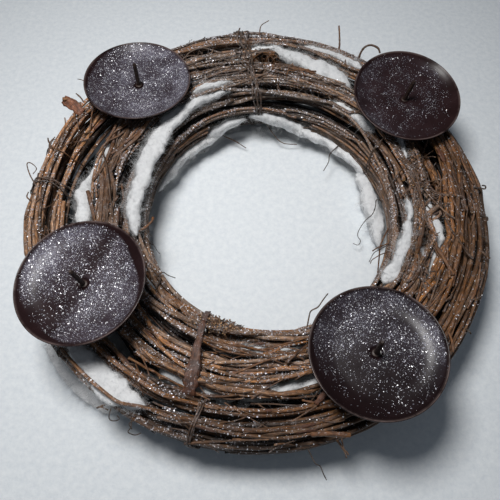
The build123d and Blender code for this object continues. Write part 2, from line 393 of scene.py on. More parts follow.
def bark(name, warm, grey, gloss=0.4):
    """Dry fibrous bark: streaks along the stem, warm or grey by stem, dusted with fine glitter, and darkened on its
    sides and undersides as painted shade.
    """
    m = Mat(name)
    hue, dark, dust, cut = m.tone()
    fibre = m.noise(m.uv((110, 2300, 1)), 1.0, 5.0, 0.62, 0.25)
    blotch = m.noise(m.uv((45, 240, 1)), 1.0, 3.0, 0.6)
    w = m.ramp(fibre, [(0.28, srgb(*warm[0])), (0.5, srgb(*warm[1])), (0.72, srgb(*warm[2]))])
    g = m.ramp(fibre, [(0.28, srgb(*grey[0])), (0.5, srgb(*grey[1])), (0.74, srgb(*grey[2]))])
    h = m.math("ADD", hue, m.math("MULTIPLY", m.math("SUBTRACT", blotch, 0.5), 1.1), True)
    col = m.mix(h, w, g)
    d = m.node("ShaderNodeCombineColor")
    for i in range(3):
        m.link(dark, d.inputs[i])
    col = m.mix(1.0, col, d.outputs[0], "MULTIPLY")
    geo = m.node("ShaderNodeNewGeometry")
    sep = m.node("ShaderNodeSeparateXYZ")
    m.link(geo.outputs["Normal"], sep.inputs[0])
    top = m.level(sep.outputs[2], -0.2, 0.8)
    mottle = m.noise(m.uv((300, 520, 1)), 1.0, 3.0, 0.62, 0.4)
    spots = m.ramp(mottle, [(0.32, (0.42, 0.41, 0.4)), (0.5, (0.96, 0.96, 0.96)), (0.68, (1.5, 1.46, 1.42))])
    col = m.mix(1.0, col, spots, "MULTIPLY")
    # painted shade: the sides and undersides of every stem are darkened by their normal, so dark lines show between the
    # stems
    painted_side_shade = m.math("ADD", m.math("MULTIPLY", m.level(sep.outputs[2], -0.5, 0.75), 0.62), 0.46)
    w3 = m.node("ShaderNodeCombineColor")
    for i in range(3):
        m.link(painted_side_shade, w3.inputs[i])
    col = m.mix(1.0, col, w3.outputs[0], "MULTIPLY")
    patch = m.level(m.noise(m.place(160), 1.0, 4.0, 0.6), 0.38, 0.66)
    haze = m.math("MULTIPLY", m.math("MULTIPLY", dust, top), patch, True)
    grain_d, grain_c = m.cells(m.place(1500))
    speck = m.math("MULTIPLY", m.level(grain_c, 0.76, 0.86), haze, True)
    col = m.mix(m.math("MULTIPLY", haze, 0.27), col, srgb(152, 146, 147))
    col = m.mix(m.math("MULTIPLY", speck, 0.9), col, srgb(224, 222, 226))
    rings = m.noise(m.uv((2600, 2600, 1)), 1.0, 3.0, 0.6)
    wood = m.ramp(rings, [(0.3, srgb(120, 84, 52)), (0.6, srgb(190, 150, 104))])
    col = m.mix(cut, col, wood)
    m.link(col, m.p.inputs["Base Color"])
    rough = m.math("SUBTRACT", m.math("MULTIPLY", fibre, 0.3), m.math("MULTIPLY", speck, 0.2))
    m.link(m.math("ADD", rough, 0.36), m.p.inputs["Roughness"])
    m.p.inputs["Specular IOR Level"].default_value = gloss
    m.bump(m.math("ADD", m.math("ADD", fibre, m.math("MULTIPLY", blotch, 0.7)), m.math("MULTIPLY", mottle, 0.9)), 0.0007, 0.8)
    return m.m


VINE = bark("vine_bark", [(42, 22, 11), (112, 71, 36), (184, 130, 70)], [(38, 29, 23), (94, 77, 63), (160, 141, 124)])
TWIG = bark("twig_bark", [(40, 23, 12), (96, 60, 32), (150, 106, 60)], [(36, 28, 22), (82, 67, 56), (134, 118, 104)])
STRIP = bark("strip_bark", [(44, 26, 19), (94, 58, 41), (138, 96, 72)], [(44, 32, 27), (86, 66, 56), (132, 112, 100)], 0.4)


def fleece_material():
    m = Mat("cotton_fleece")
    hue, dark, dust, cut = m.tone()
    fluff = m.noise(m.place(420), 1.0, 6.0, 0.7, 0.6)
    soft = m.noise(m.place(90), 1.0, 3.0, 0.5)
    col = m.ramp(fluff, [(0.25, srgb(222, 224, 226)), (0.5, srgb(240, 241, 242)), (0.75, srgb(248, 248, 249))])
    col = m.mix(m.math("MULTIPLY", m.level(soft, 0.45, 0.8), 0.25), col, srgb(214, 217, 220))
    grain_d, grain_c = m.cells(m.place(1300))
    dirt = m.math("MULTIPLY", m.level(grain_c, 0.74, 0.9), dust, True)
    col = m.mix(m.math("MULTIPLY", dirt, 0.8), col, srgb(96, 88, 86))
    # each strip's lightness, squared, multiplies the colour: the cotton's own tone and painted light
    d = m.node("ShaderNodeCombineColor")
    for i in range(3):
        m.link(m.math("MULTIPLY", dark, dark), d.inputs[i])
    col = m.mix(1.0, col, d.outputs[0], "MULTIPLY")
    m.link(col, m.p.inputs["Base Color"])
    m.p.inputs["Roughness"].default_value = 1.0
    m.p.inputs["Specular IOR Level"].default_value = 0.1
    m.p.inputs["Sheen Weight"].default_value = 0.3
    m.p.inputs["Sheen Roughness"].default_value = 0.6
    m.p.inputs["Subsurface Weight"].default_value = 0.5
    m.p.inputs["Subsurface Radius"].default_value = (1.0, 1.0, 1.0)
    m.p.inputs["Subsurface Scale"].default_value = 0.003
    m.bump(fluff, 0.0013, 0.7)
    return m.m


FLEECE = fleece_material()


def plate_material():
    """Dark brown lacquer with fine silver glitter strewn on the upper face."""
    m = Mat("plate_lacquer")
    dens, painted_plate_light, edge, gloss = m.tone()
    blot = m.noise(m.place(70), 1.0, 4.0, 0.6)
    col = m.ramp(blot, [(0.3, srgb(35, 21, 21)), (0.55, srgb(44, 28, 29)), (0.75, srgb(51, 35, 36))])
    # painted light: the lacquer colour is scaled plate by plate
    sh = m.node("ShaderNodeCombineColor")
    for i in range(3):
        m.link(painted_plate_light, sh.inputs[i])
    col = m.mix(1.0, col, sh.outputs[0], "MULTIPLY")
    cd, cc = m.cells(m.uv((1, 1, 1)), 1500.0)
    s = m.node("ShaderNodeSeparateColor")
    m.link(cc, s.inputs[0])
    fine = m.math("SUBTRACT", m.math("ADD", s.outputs[0], m.math("MULTIPLY", m.math("MULTIPLY", dens, dens), 0.46)), 1.0)
    speck = m.math("MULTIPLY", m.level(fine, 0.0, 0.05), m.level(m.math("SUBTRACT", 0.45, cd), 0.0, 0.1), True)
    bright = m.ramp(s.outputs[1], [(0.0, srgb(78, 72, 82)), (0.6, srgb(124, 122, 136)), (1.0, srgb(205, 208, 222))])
    col = m.mix(m.math("MULTIPLY", m.math("MULTIPLY", dens, dens), 0.38), col, srgb(118, 114, 128))
    col = m.mix(speck, col, bright)
    # painted highlight: a lighter band along the rolled lip, in patches
    col = m.mix(m.math("MULTIPLY", edge, m.level(blot, 0.35, 0.6)), col, srgb(124, 108, 104))
    m.link(col, m.p.inputs["Base Color"])
    rough = m.math("ADD", m.math("MULTIPLY", blot, 0.1), m.math("MULTIPLY", dens, 0.08))
    m.link(m.math("ADD", rough, 0.21), m.p.inputs["Roughness"])
    m.link(gloss, m.p.inputs["Specular IOR Level"])
    m.bump(m.math("ADD", m.math("MULTIPLY", speck, m.math("SUBTRACT", 0.5, cd)), m.math("MULTIPLY", blot, 0.25)), 0.0006, 0.6)
    return m.m


PLATE = plate_material()


def spike_material():
    m = Mat("spike_lacquer")
    a = m.noise(m.place(700), 1.0, 5.0, 0.65)
    col = m.ramp(a, [(0.3, srgb(30, 22, 20)), (0.55, srgb(52, 38, 32)), (0.8, srgb(84, 60, 46))])
    m.link(col, m.p.inputs["Base Color"])
    m.link(m.math("ADD", m.math("MULTIPLY", a, 0.35), 0.3), m.p.inputs["Roughness"])
    m.p.inputs["Metallic"].default_value = 0.25
    m.bump(a, 0.0003, 0.6)
    return m.m


SPIKE = spike_material()


def glitter_material(name, metal, low):
    m = Mat(name)
    hue, dark, dust, _ = m.tone()
    a = m.noise(m.place(3000), 1.0, 2.0, 0.5)
    cool = m.mix(hue, srgb(252, 252, 255), srgb(*low))
    col = m.mix(m.math("MULTIPLY", m.level(a, 0.4, 0.8), 0.25), cool, srgb(240, 236, 228))
    m.link(col, m.p.inputs["Base Color"])
    m.p.inputs["Metallic"].default_value = metal
    m.link(m.math("ADD", m.math("MULTIPLY", a, 0.2), 0.2), m.p.inputs["Roughness"])
    return m.m


GLITTER = glitter_material("silver_glitter", 0.6, (92, 92, 110))
FROST = glitter_material("frost_glitter", 0.3, (188, 184, 196))


def flakes(b, pos, nrm, size, tilt, dim=1.0):
    """Small closed flakes of glitter lying on a surface, each at its own tilt."""
    n = len(pos)
    nn = unit(nrm + tilt * rng.normal(size=(n, 3)))
    a = unit(np.cross(nn, rng.normal(size=(n, 3))))
    c = np.cross(nn, a)
    w = size[:, None]
    p = pos + nn * 0.06
    V = np.stack([p + a * w, p + c * w, p - a * w, p - c * w, p + nn * w * 0.16, p - nn * w * 0.16], 1)
    f = np.array([[0, 1, 4], [1, 2, 4], [2, 3, 4], [3, 0, 4], [1, 0, 5], [2, 1, 5], [3, 2, 5], [0, 3, 5]])
    t = (np.arange(n)[:, None, None] * 6 + f[None]).reshape(-1, 3)
    tone = np.zeros((n, 6, 4))
    tone[..., 0] = (rng.uniform(0, 1, n) ** (1 / dim))[:, None]
    b.add(V.reshape(-1, 3), tone.reshape(-1, 4), t=t, tuv=np.zeros((len(t), 3, 2)))


# ------------------------------------------------------------------ courses of the stems round the ring
# strand: winding radius, height, angle of the cut, degrees wound, stems
STRANDS = {
    "inner_vine_lower": (93.0, 22.6, 124, 308, 4), "inner_vine_middle": (93.0, 30.6, 123, 310, 5),
    "inner_vine_upper": (93.0, 38.6, 140, 344, 4), "inner_vine_foot": (101.3, 14.6, 75, 348, 4),
    "inner_vine_heart": (101.3, 30.6, 300, 346, 3), "inner_vine_shoulder": (101.3, 46.6, 205, 349, 5),
    "core_vine_1": (109.6, 22.6, 165, 345, 3), "core_vine_2": (109.6, 38.6, 10, 350, 4),
    "core_vine_3": (117.9, 14.6, 110, 347, 3), "core_vine_4": (117.9, 30.6, 330, 350, 4),
    "core_vine_5": (130.6, 14.6, 60, 346, 4), "core_vine_6": (147.0, 30.6, 120, 348, 4),
    "crown_vine_inner": (109.6, 54.0, 222, 347, 4), "crown_vine_inner_low": (117.9, 47.4, 52, 349, 4),
    "crown_vine_outer_low": (147.0, 46.6, 182, 348, 4), "crown_vine_outer": (154.6, 53.4, 250, 322, 4),
    "base_vine_1": (109.6, 6.6, 35, 349, 3), "base_vine_2": (117.9, 6.6, 190, 350, 3),
    "base_vine_3": (126.4, 6.6, 310, 348, 3), "base_vine_4": (134.9, 6.6, 95, 350, 3),
    "base_vine_5": (147.0, 6.6, 235, 349, 3), "base_vine_6": (155.3, 6.6, 15, 348, 4),
    "outer_vine_foot": (163.4, 14.6, 265, 350, 5), "outer_vine_lower": (163.6, 22.6, 100, 349, 3),
    "outer_vine_middle": (163.6, 30.6, 5, 350, 3), "outer_vine_upper": (163.4, 38.6, 250, 322, 3),
    "outer_vine_shoulder": (161.0, 46.4, 250, 322, 4), "outer_vine_heart": (155.3, 38.6, 60, 350, 3),
    "outer_vine_heart_low": (155.3, 22.6, 215, 348, 3),
}
K = 240
TH = np.arange(K) * 2 * np.pi / K


def wave(lo, hi, amp):
    m = np.arange(lo, hi + 1)
    a, p = rng.normal(size=len(m)) / math.sqrt(len(m)), rng.uniform(0, 2 * np.pi, len(m))
    return amp * (a[:, None] * np.cos(m[:, None] * TH + p[:, None])).sum(0)


def stem_radius():
    r = rng.uniform()
    return rng.uniform(0.8, 1.15) if r < 0.36 else rng.uniform(1.15, 1.5) if r < 0.8 else rng.uniform(1.5, 1.95)


stems = []         # piece, home course (K, 2), radius, first angle, degrees wound, warmth shift
for name, (R, z, first, wound, count) in STRANDS.items():
    rs = R + wave(1, 4, 1.0) + wave(5, 7, 0.2)
    zs = z + wave(1, 4, 0.9) + wave(5, 7, 0.2)
    short = wound < 330
    for i in range(count):
        rho = rng.uniform(1.2, 3.4)
        psi = 6.283 * i / count + rng.choice([0, 0, 0, -1, 1]) * TH + wave(1, 4, 0.7) + rng.uniform(0, 0.8)
        home = np.stack([rs + rho * np.cos(psi) + wave(6, 14, 0.7), zs + rho * np.sin(psi) + wave(6, 14, 0.5)], -1)
        if i == 0 or (short and i < 6):
            span = (first + (0 if i == 0 else rng.uniform(0, 5)), wound - (0 if i == 0 else rng.uniform(4, 8)))
        elif short:
            a = rng.uniform(150, 300)
            span = (first + rng.uniform(2, wound - a - 2), a)
        else:
            span = (first + rng.uniform(0, 360), wound if i < 2 else rng.uniform(220, 350))
        stems.append([name, home, stem_radius(), *span, rng.normal(0, 0.2)])
for group, (Rc, zc, a, b_, count) in {"loose_vines_inner": (107.5, 31.0, 15.5, 26.0, 6), "loose_vines_outer": (153.5, 30.0, 11.5, 26.5, 6)}.items():
    for i in range(count):
        phi = np.pi * (0.02 + 0.98 * (i + 0.5) / count) + wave(1, 4, 0.3) if Rc < 130 else np.pi * (1.0 - 1.5 * (i + 0.5) / count) + wave(1, 4, 0.3)
        rho = 1.04 + wave(2, 5, 0.03)
        home = np.stack([Rc + a * rho * np.cos(phi), zc + b_ * rho * np.sin(phi)], -1)
        stems.append([group, home, stem_radius(), rng.uniform(0, 360), rng.uniform(120, 300), rng.normal(0, 0.2)])
# runs that lie over the channel between the two ridges: stems, then angle, radius and height along the run,
# sideways and upward scatter, least radius, warmth shift
RUNS = [
    (5, [(218, 123, 51), (240, 126, 52), (265, 127.5, 52), (290, 126, 52), (312, 121, 51)], 7.0, 2.4, 1.15, -0.05),
    (4, [(140, 121, 53), (160, 123, 54), (176, 122, 53), (184, 119, 50)], 4.5, 1.8, 0.9, 0.0),
    (6, [(52, 118, 54), (80, 119, 54), (105, 121, 55), (128, 121, 54)], 5.0, 2.2, 0.9, 0.3),
    (4, [(88, 134, 54), (104, 135, 54), (128, 138, 53)], 5.0, 2.0, 0.9, 0.3),
    (7, [(50, 152, 54), (28, 148, 55), (5, 139, 55), (-18, 134, 54), (-46, 131, 53)], 7.5, 2.0, 1.6, -0.3),
    (3, [(8, 131, 44), (28, 132, 45), (50, 134, 45)], 4.0, 2.0, 1.3, 0.0),
    (4, [(44, 115, 55), (10, 113, 55), (-20, 115, 54), (-50, 117, 53)], 3.6, 1.8, 0.8, 0.15),
    (3, [(228, 134, 50), (246, 136, 51), (262, 135.5, 51), (286, 133, 51)], 2.6, 1.4, 1.1, -0.05),
    (3, [(196, 143, 53), (226, 146, 54), (262, 145, 54), (300, 144, 53)], 2.4, 1.4, 1.2, -0.25),
    (2, [(214, 167, 44), (228, 168.5, 45), (240, 168, 44), (252, 164, 42)], 1.2, 1.0, 0.8, -0.1),
]
for count, knots, sr, sz, least, warm in RUNS:
    deg = np.degrees(TH)
    a = np.array([k[0] for k in knots], float)
    sign = 1 if a[-1] > a[0] else -1
    first, last = min(a[0], a[-1]), max(a[0], a[-1])
    order = np.argsort(a)
    mid = (first + last) / 2
    d = mid + (deg - mid + 180) % 360 - 180
    Rk, zk = (np.interp(d, a[order], np.array([k[c] for k in knots])[order]) for c in (1, 2))
    for i in range(count):
        o = -1 + 2 * (i + rng.uniform(0.1, 0.9)) / count
        tilt = rng.normal(0, 0.06)
        home = np.stack([Rk + sr * o + tilt * (d - mid) + wave(2, 14, 1.3), zk + sz * rng.uniform(-1, 1) + wave(2, 12, 0.8)], -1)
        lo, hi = first + rng.uniform(-4, 9), last + rng.uniform(-9, 4)
        stems.append(["loose_vines_middle", home, max(stem_radius(), least * rng.uniform(0.9, 1.15)), lo, hi - lo, warm + rng.normal(0, 0.15)])

P = np.array([s[1] for s in stems], np.float32)
RAD = np.array([s[2] for s in stems], np.float32)
HOME = P.copy()
METRIC = (1 + SLOPE * np.cos(TH)).astype(np.float32)
LIVE = np.array([((np.degrees(TH) - s[3] + 3) % 360) < min(s[4] + 6, 359.9) for s in stems], np.float32)

# fleece strips: winding radius, height, half width, half height, first and last angle,
# then along the strip: angle, shift outwards, shift up, share of the width and of the height
FLEECES = {
    "fleece_crest_left": ((97.0, 54.4, 6.4, 3.3, 108, 200), [
        (108, 5.0, 0.2, 0.15, 0.5), (114, 4.6, 0.2, 0.3, 0.8), (121, 4.2, 0.3, 0.46, 0.9), (128, 3.6, 0.4, 0.7, 1.0), (137, 3.4, 0.4, 1.02, 1.0),
        (146, 0.8, 0.3, 1.0, 1.0), (154, -2.2, 0.0, 1.16, 1.0), (160, -2.8, 0.0, 1.02, 1.0), (165, -2.6, -0.2, 0.88, 1.0), (171, -3.6, -0.4, 1.04, 1.0), (178, -2.8, -0.4, 0.8, 1.0),
        (187, -1.8, -0.4, 0.74, 1.0), (194, -1.2, -0.5, 0.58, 0.95), (200, -1.0, -0.5, 0.5, 0.85)]),
    "fleece_crest_right": ((98.8, 55.4, 5.0, 3.3, -38, 2), [
        (-38, -0.4, -1.2, 1.15, 0.95), (-33, -0.2, -0.8, 1.1, 1.0), (-27, 0.0, -0.4, 0.82, 1.0), (-17, 0.2, -0.2, 0.72, 1.0), (-10, 0.6, -0.4, 0.55, 0.8),
        (-7.5, 1.2, -1.2, 0.2, 0.4), (-5, 2.8, -0.6, 0.4, 0.7), (-1, 1.4, -0.4, 0.6, 0.9), (2, 0.2, -0.4, 0.5, 0.7)]),
    "fleece_inner_left": ((91.0, 12.4, 4.0, 6.2, 122, 164), [
        (122, 0.0, 5.4, 0.8, 0.6), (135, 0.0, 4.6, 0.9, 0.56), (150, 0.2, 4.0, 0.9, 0.52), (164, 0.8, 2.6, 0.5, 0.42)]),
    "fleece_inner_back": ((92.0, 12.6, 4.0, 6.2, 33, 73), [
        (33, 1.6, 4.2, 0.8, 0.66), (45, 0.6, 4.8, 0.95, 0.66), (60, 0.0, 5.0, 1.0, 0.66), (73, 0.0, 6.4, 1.0, 0.68)]),
    "fleece_inner_right": ((88.4, 9.5, 6.3, 7.5, -8, 29), [
        (-8, 1.0, -2.0, 0.6, 0.6), (2, -1.0, -0.6, 0.95, 0.9), (13, -1.6, 0.0, 1.1, 1.0), (22, 0.0, 1.0, 1.0, 1.02), (29, 2.0, 3.0, 0.75, 0.9)]),
    "fleece_back_left": ((92.6, 25.4, 3.9, 6.4, 104, 121), [
        (104, 0.4, 3.0, 0.7, 0.6), (112, 0.0, 0.6, 0.85, 0.72), (121, -0.4, -4.6, 0.9, 0.78)]),
    "fleece_back_right": ((92.6, 25.8, 3.9, 6.6, 75, 98), [
        (75, -0.4, -6.4, 0.95, 0.85), (84, -0.2, -1.5, 0.95, 0.85), (92, 0.2, 3.0, 0.8, 0.7), (98, 0.6, 5.6, 0.5, 0.45)]),
    "fleece_crown_back": ((132.4, 51.0, 10.3, 4.6, 58, 90), [
        (58, -5.0, -0.4, 0.5, 0.85), (64, -3.6, 0.2, 0.72, 1.0), (70, -1.2, 0.3, 0.85, 1.0), (75, 2.0, 0.3, 0.82, 1.0), (82, 8.0, 0.6, 0.5, 0.9), (86, 10.5, 0.8, 0.36, 0.8), (90, 11.5, 0.8, 0.25, 0.65)]),
    "fleece_channel_left": ((127.6, 40.0, 5.4, 9.0, 156, 200), [
        (156, 3.0, -6.0, 0.5, 0.7), (166, 3.6, -6.0, 0.5, 0.7), (174, 4.0, -3.0, 0.8, 0.9), (179, 3.2, 1.2, 1.3, 1.08), (187, 0.6, 1.2, 1.15, 1.08), (200, -1.0, 0.0, 0.9, 1.0)]),
    "fleece_channel_right": ((126.4, 40.0, 4.6, 9.0, -26, 4), [
        (-26, -1.5, -1.0, 0.7, 1.0), (-18, -2.0, 1.0, 1.25, 1.1), (-13, -0.5, 0.0, 0.6, 1.0), (-11, 0.0, 2.6, 0.9, 1.18), (-7, -3.6, 3.0, 1.3, 1.22), (-3, -7.6, 3.0, 1.5, 1.22), (1, -11.0, 2.8, 1.3, 1.2), (4, -13.0, 1.6, 0.7, 1.1)]),
    "fleece_channel_front": ((132.6, 36.0, 4.6, 8.0, -118, -70), [
        (-118, 1.0, -1.0, 0.8, 1.0), (-106, 2.8, 0.8, 1.0, 1.1), (-98, 2.8, 0.6, 0.95, 1.06), (-90, 0.0, -1.0, 0.85, 1.0), (-80, -3.6, 0.8, 1.0, 1.1), (-70, -4.4, 0.8, 1.1, 1.05)]),
    "fleece_pocket_left": ((159.2, 47.6, 8.0, 4.0, 215, 246), [
        (215, -3.4, 0.0, 0.5, 0.9), (224, -2.8, 0.0, 0.65, 1.0), (231, -2.0, 0.0, 0.9, 1.0), (238, -0.6, 0.0, 0.95, 1.0), (243, -1.0, -0.3, 0.7, 0.9), (246, -1.5, -0.6, 0.4, 0.7)]),
    "fleece_outer_left": ((171.5, 3.4, 8.5, 2.6, 212, 238), [
        (212, 0.0, -1.2, 0.9, 0.5), (220, 0.5, -1.2, 1.05, 0.55), (228, -0.5, -1.2, 1.0, 0.55), (238, -3.0, -1.4, 0.7, 0.45)]),
}
# smaller tufts pressed in between the stems
TUFTS = {
    "tuft_back": ((109.2, 56.4, 2.4, 2.2, 106, 125), [(106, 0, 0, 0.6, 0.8), (114, 0, 0, 1, 1), (125, 1.2, 0, 0.7, 0.9)]),
    "tuft_shoulder": ((103.4, 52.4, 3.5, 3.0, 38, 62), [(38, 0, 0, 0.8, 1), (50, -0.6, 0, 1.0, 1), (62, 0, 0, 0.5, 0.9)]),
    "tuft_gap": ((112.6, 55.0, 2.0, 2.6, 20, 33), [(20, -3.2, 0, 0.7, 0.9), (26, 0.4, 0, 1.0, 1), (33, 2.6, 0, 1.1, 1)]),
    "tuft_tail": ((142.4, 54.6, 1.8, 1.8, 85, 97), [(85, 3.6, 0, 1.1, 1), (92, 0, 0, 1, 1), (97, -3.2, 0, 0.6, 0.8)]),
    "tuft_cross_in": ((114.5, 49.0, 3.4, 2.4, -21.5, -15.5), [(-21.5, 0, 0, 0.8, 1), (-15.5, 0, 0, 0.9, 1)]),
    "tuft_cross_out": ((123.0, 49.6, 3.6, 2.4, -21, -15.5), [(-21, 0, 0, 0.8, 1), (-15.5, 0, 0, 0.9, 1)]),
    "tuft_crown": ((149.5, 54.6, 3.0, 2.6, 57, 79), [(57, -1, 0, 0.8, 1), (68, 0.4, 0, 1, 1), (79, 0.4, 0, 0.5, 0.8)]),
    "tuft_front": ((107.2, 45.4, 2.8, 2.0, -102, -72), [(-102, 0, -0.5, 0.7, 1), (-86, 0, 0, 1, 1), (-72, 0.4, 0.4, 1.1, 1)]),
    "tuft_middle": ((129.0, 46.0, 3.0, 2.6, -23, -14), [(-23, -6, 0, 0.7, 0.9), (-18, 0, 0, 1, 1), (-14, 3, 0, 0.5, 0.8)]),
}


def fleece_course(name, deg):
    (R, z, hw, hh, first, last), knots = (FLEECES.get(name) or TUFTS[name])
    k = np.array(knots, float)
    f = lambda c: np.interp(deg, k[:, 0], k[:, c])
    return R + f(1), z + f(2), hw * f(3), hh * f(4)


# what keeps the stems off: fleece and the rods under the plates, as round blocks along the ring
blocks = []        # centre radius, centre height and block radius, each (K,)
for name, ((R, z, hw, hh, first, last), knots) in {**FLEECES, **TUFTS}.items():
    mid = (first + last) / 2
    d = mid + (np.degrees(TH) - mid + 180) % 360 - 180
    Rc, zc, w, h = fleece_course(name, np.clip(d, first, last))
    on = np.clip(((last - first) / 2 - np.abs(d - mid)) / 5, 0, 1)
    r = np.minimum(w, h)
    count = 3 if max(hw, hh) / min(hw, hh) < 2.1 else 5
    for o in np.linspace(-1, 1, count):
        along = o * (np.maximum(w, h) - r)
        blocks.append((Rc + along * (w > h), zc + along * (w <= h), (r + 0.2) * on))
# places where the fleece or a hollow shows between the stems: radius, height and size at the two ends, angles
for (Ra, Rb), z, size, (first, last) in [
    ((113, 127), 56, 5.0, (4, -12)), ((110, 115), 58, 3.2, (20, 32)), ((113, 114), 54, 3.6, (-8, -15)), ((114, 114), 55, 2.8, (-16, -21)), ((122, 122), 55, 2.8, (-16, -21)),
    ((103.4, 103.4), 57, 2.4, (41, 60)), ((131, 128), 55, 4.6, (176, 190)),
    ((128, 130), 52, 3.8, (-71, -86)), ((136, 137), 53, 2.8, (-117, -102)), ((107.6, 107.6), 54, 2.2, (-72, -99)), ((138, 138), 54, 4.2, (158, 178)),
    ((130, 130), 55, 4.6, (79, 94)), ((140, 139), 54, 3.0, (234, 250)), ((157, 157), 58, 5.4, (218, 244)), ((147.4, 149), 57, 1.6, (-60, -100)), ((138, 139), 53, 2.0, (-62, -92)),
]:
    a, e = min(first, last), max(first, last)
    mid = (a + e) / 2
    d = mid + (np.degrees(TH) - mid + 180) % 360 - 180
    f = np.clip((d - first) / (last - first), 0, 1)
    on = np.clip(((e - a) / 2 + 2 - np.abs(d - mid)) / 4, 0, 1)
    for h in (z - 5, z, z + 5):
        blocks.append((Ra + (Rb - Ra) * f, h + 0 * TH, size * on))
PLATES = {
    "back_left": ((-97.3, 92.3, 69.0), (0.019, 0.061)),
    "back_right": ((106.6, 83.8, 73.4), (0.042, -0.059)),
    "front_left": ((-107.9, -75.9, 79.8), (-0.081, 0.011)),
    "front_right": ((69.9, -109.9, 76.4), (-0.084, 0.083)),
}
AXES = {k: unit(np.array([l[0], l[1], 1.0])) for k, (c, l) in PLATES.items()}
LIPS = {k: np.array([c[0] + SX, c[1] + SY, c[2]]) for k, (c, l) in PLATES.items()}
for k in PLATES:
    low = LIPS[k][2] - 11.1
    for z in np.arange(18.0, 66.0, 4.0):
        p = LIPS[k] + AXES[k] * (z - LIPS[k][2]) / AXES[k][2]
        R, a = unring(p)
        d = np.abs((TH - a + np.pi) % (2 * np.pi) - np.pi)
        size = 2.6 if z < low - 2 else 7.2
        reach = math.radians(5.5) if z < low - 2 else math.radians(6.5)
        blocks.append((R + 0 * TH, z + 0 * TH, size * np.clip((reach - d) / math.radians(2.5), 0, 1)))
INSIDE = 92.2 - 2.4 * np.exp(-(((np.degrees(TH) - 178 + 180) % 360 - 180) / 38) ** 2)


def settle(P, rounds):
    """Presses the stems apart where they run into each other, section by section, and keeps their courses smooth."""
    need = (RAD[:, None] + RAD[None, :] + 0.08)[:, :, None]
    for it in range(rounds):
        dR = (P[:, None, :, 0] - P[None, :, :, 0]) * METRIC
        dz = P[:, None, :, 1] - P[None, :, :, 1]
        d = np.sqrt(dR * dR + dz * dz) + 1e-4
        w = np.maximum(need - d, 0) / d * 0.42 * LIVE[None]
        push = np.stack([(w * dR).sum(1), (w * dz).sum(1)], -1)
        for cR, cz, rr in blocks:
            on = rr > 0
            bR, bz = (P[:, on, 0] - cR[on]) * METRIC[on], P[:, on, 1] - cz[on]
            bd = np.sqrt(bR * bR + bz * bz) + 1e-4
            bw = np.maximum(rr[on][None] + RAD[:, None] - bd, 0) / bd * 0.8
            push[:, on, 0] += bw * bR
            push[:, on, 1] += bw * bz
        push = np.clip(push, -1.2, 1.2) * LIVE[..., None]
        for _ in range(2):
            push = 0.5 * push + 0.25 * (np.roll(push, 1, 1) + np.roll(push, -1, 1))
        P = P + push + 0.025 * (HOME - P)
        if it % 4 == 3:
            P = 0.6 * P + 0.2 * (np.roll(P, 1, 1) + np.roll(P, -1, 1))
        P[..., 1] = np.clip(P[..., 1], RAD[:, None] + 0.4, 59.2 - RAD[:, None])
        P[..., 0] = np.clip(P[..., 0], INSIDE + RAD[:, None], 167.2 - RAD[:, None])
    return P


P = settle(P, 34).astype(np.float64)


def course(i, th):
    """Settled course of stem i at these angles: winding radius and height."""
    x = (th / (2 * np.pi) * K) % K
    j = np.floor(x).astype(int)
    f = (x - j)[:, None]
    a, b_, c, d = (P[i, (j + o) % K] for o in (-1, 0, 1, 2))
    return 0.5 * (2 * b_ + (c - a) * f + (2 * a - 5 * b_ + 4 * c - d) * f**2 + (3 * b_ - a - 3 * c + d) * f**3)


def bump_at(a, centre, width):
    d = (np.degrees(a) - centre + 180) % 360 - 180
    return np.exp(-(d / width) ** 2)


def hollow(R, th):
    """One in the hollow beside the winding at the back, where the bark is rusty and clean."""
    return np.clip((R - 120) / 5, 0, 1) * np.clip((143 - R) / 5, 0, 1) * bump_at(th, 85, 9)


def dust_at(R, th):
    inner = np.clip((136 - R) / 14, 0, 1)
    d = 0.34 + 0.7 * bump_at(th, 92, 36) + inner * (0.55 * bump_at(th, 165, 42) + 0.5 * bump_at(th, -98, 50) + 0.6 * bump_at(th, 15, 32))
    d += (1 - inner) * (0.2 * bump_at(th, 180, 22) + 0.3 * bump_at(th, -114, 24) - 0.16 * bump_at(th, -66, 24) - 0.08 * bump_at(th, 5, 40))
    return np.clip(d - 0.75 * hollow(R, th), 0.08, 1.0)


def hue_at(R, th):
    outer = np.clip((R - 126) / 22, 0, 1)
    h = 0.5 - 0.24 * outer + 0.5 * bump_at(th, 92, 34) - 0.06 * bump_at(th, -5, 50) + (1 - outer) * 0.1 * bump_at(th, 170, 40)
    return h + outer * (0.34 * bump_at(th, 186, 24) + 0.16 * bump_at(th, 0, 44)) - 0.85 * hollow(R, th)


# Painted light and shade by region, as a factor on the bark colour: lighter on the outer left, the inner front and the
# back, darker on the outer right and the outer front, and darker in the hollow at the back.
def painted_light_at(R, th):
    outer = np.clip((R - 132) / 10, 0, 1)
    m = 1.16 + outer * (0.86 * bump_at(th, 172, 26) - 0.66 * bump_at(th, 4, 46) - 0.7 * bump_at(th, -92, 40))
    return m + (1 - outer) * (0.26 * bump_at(th, -92, 40) + 0.06 * bump_at(th, 15, 30)) + 0.24 * bump_at(th, 90, 34) - 0.4 * hollow(R, th)


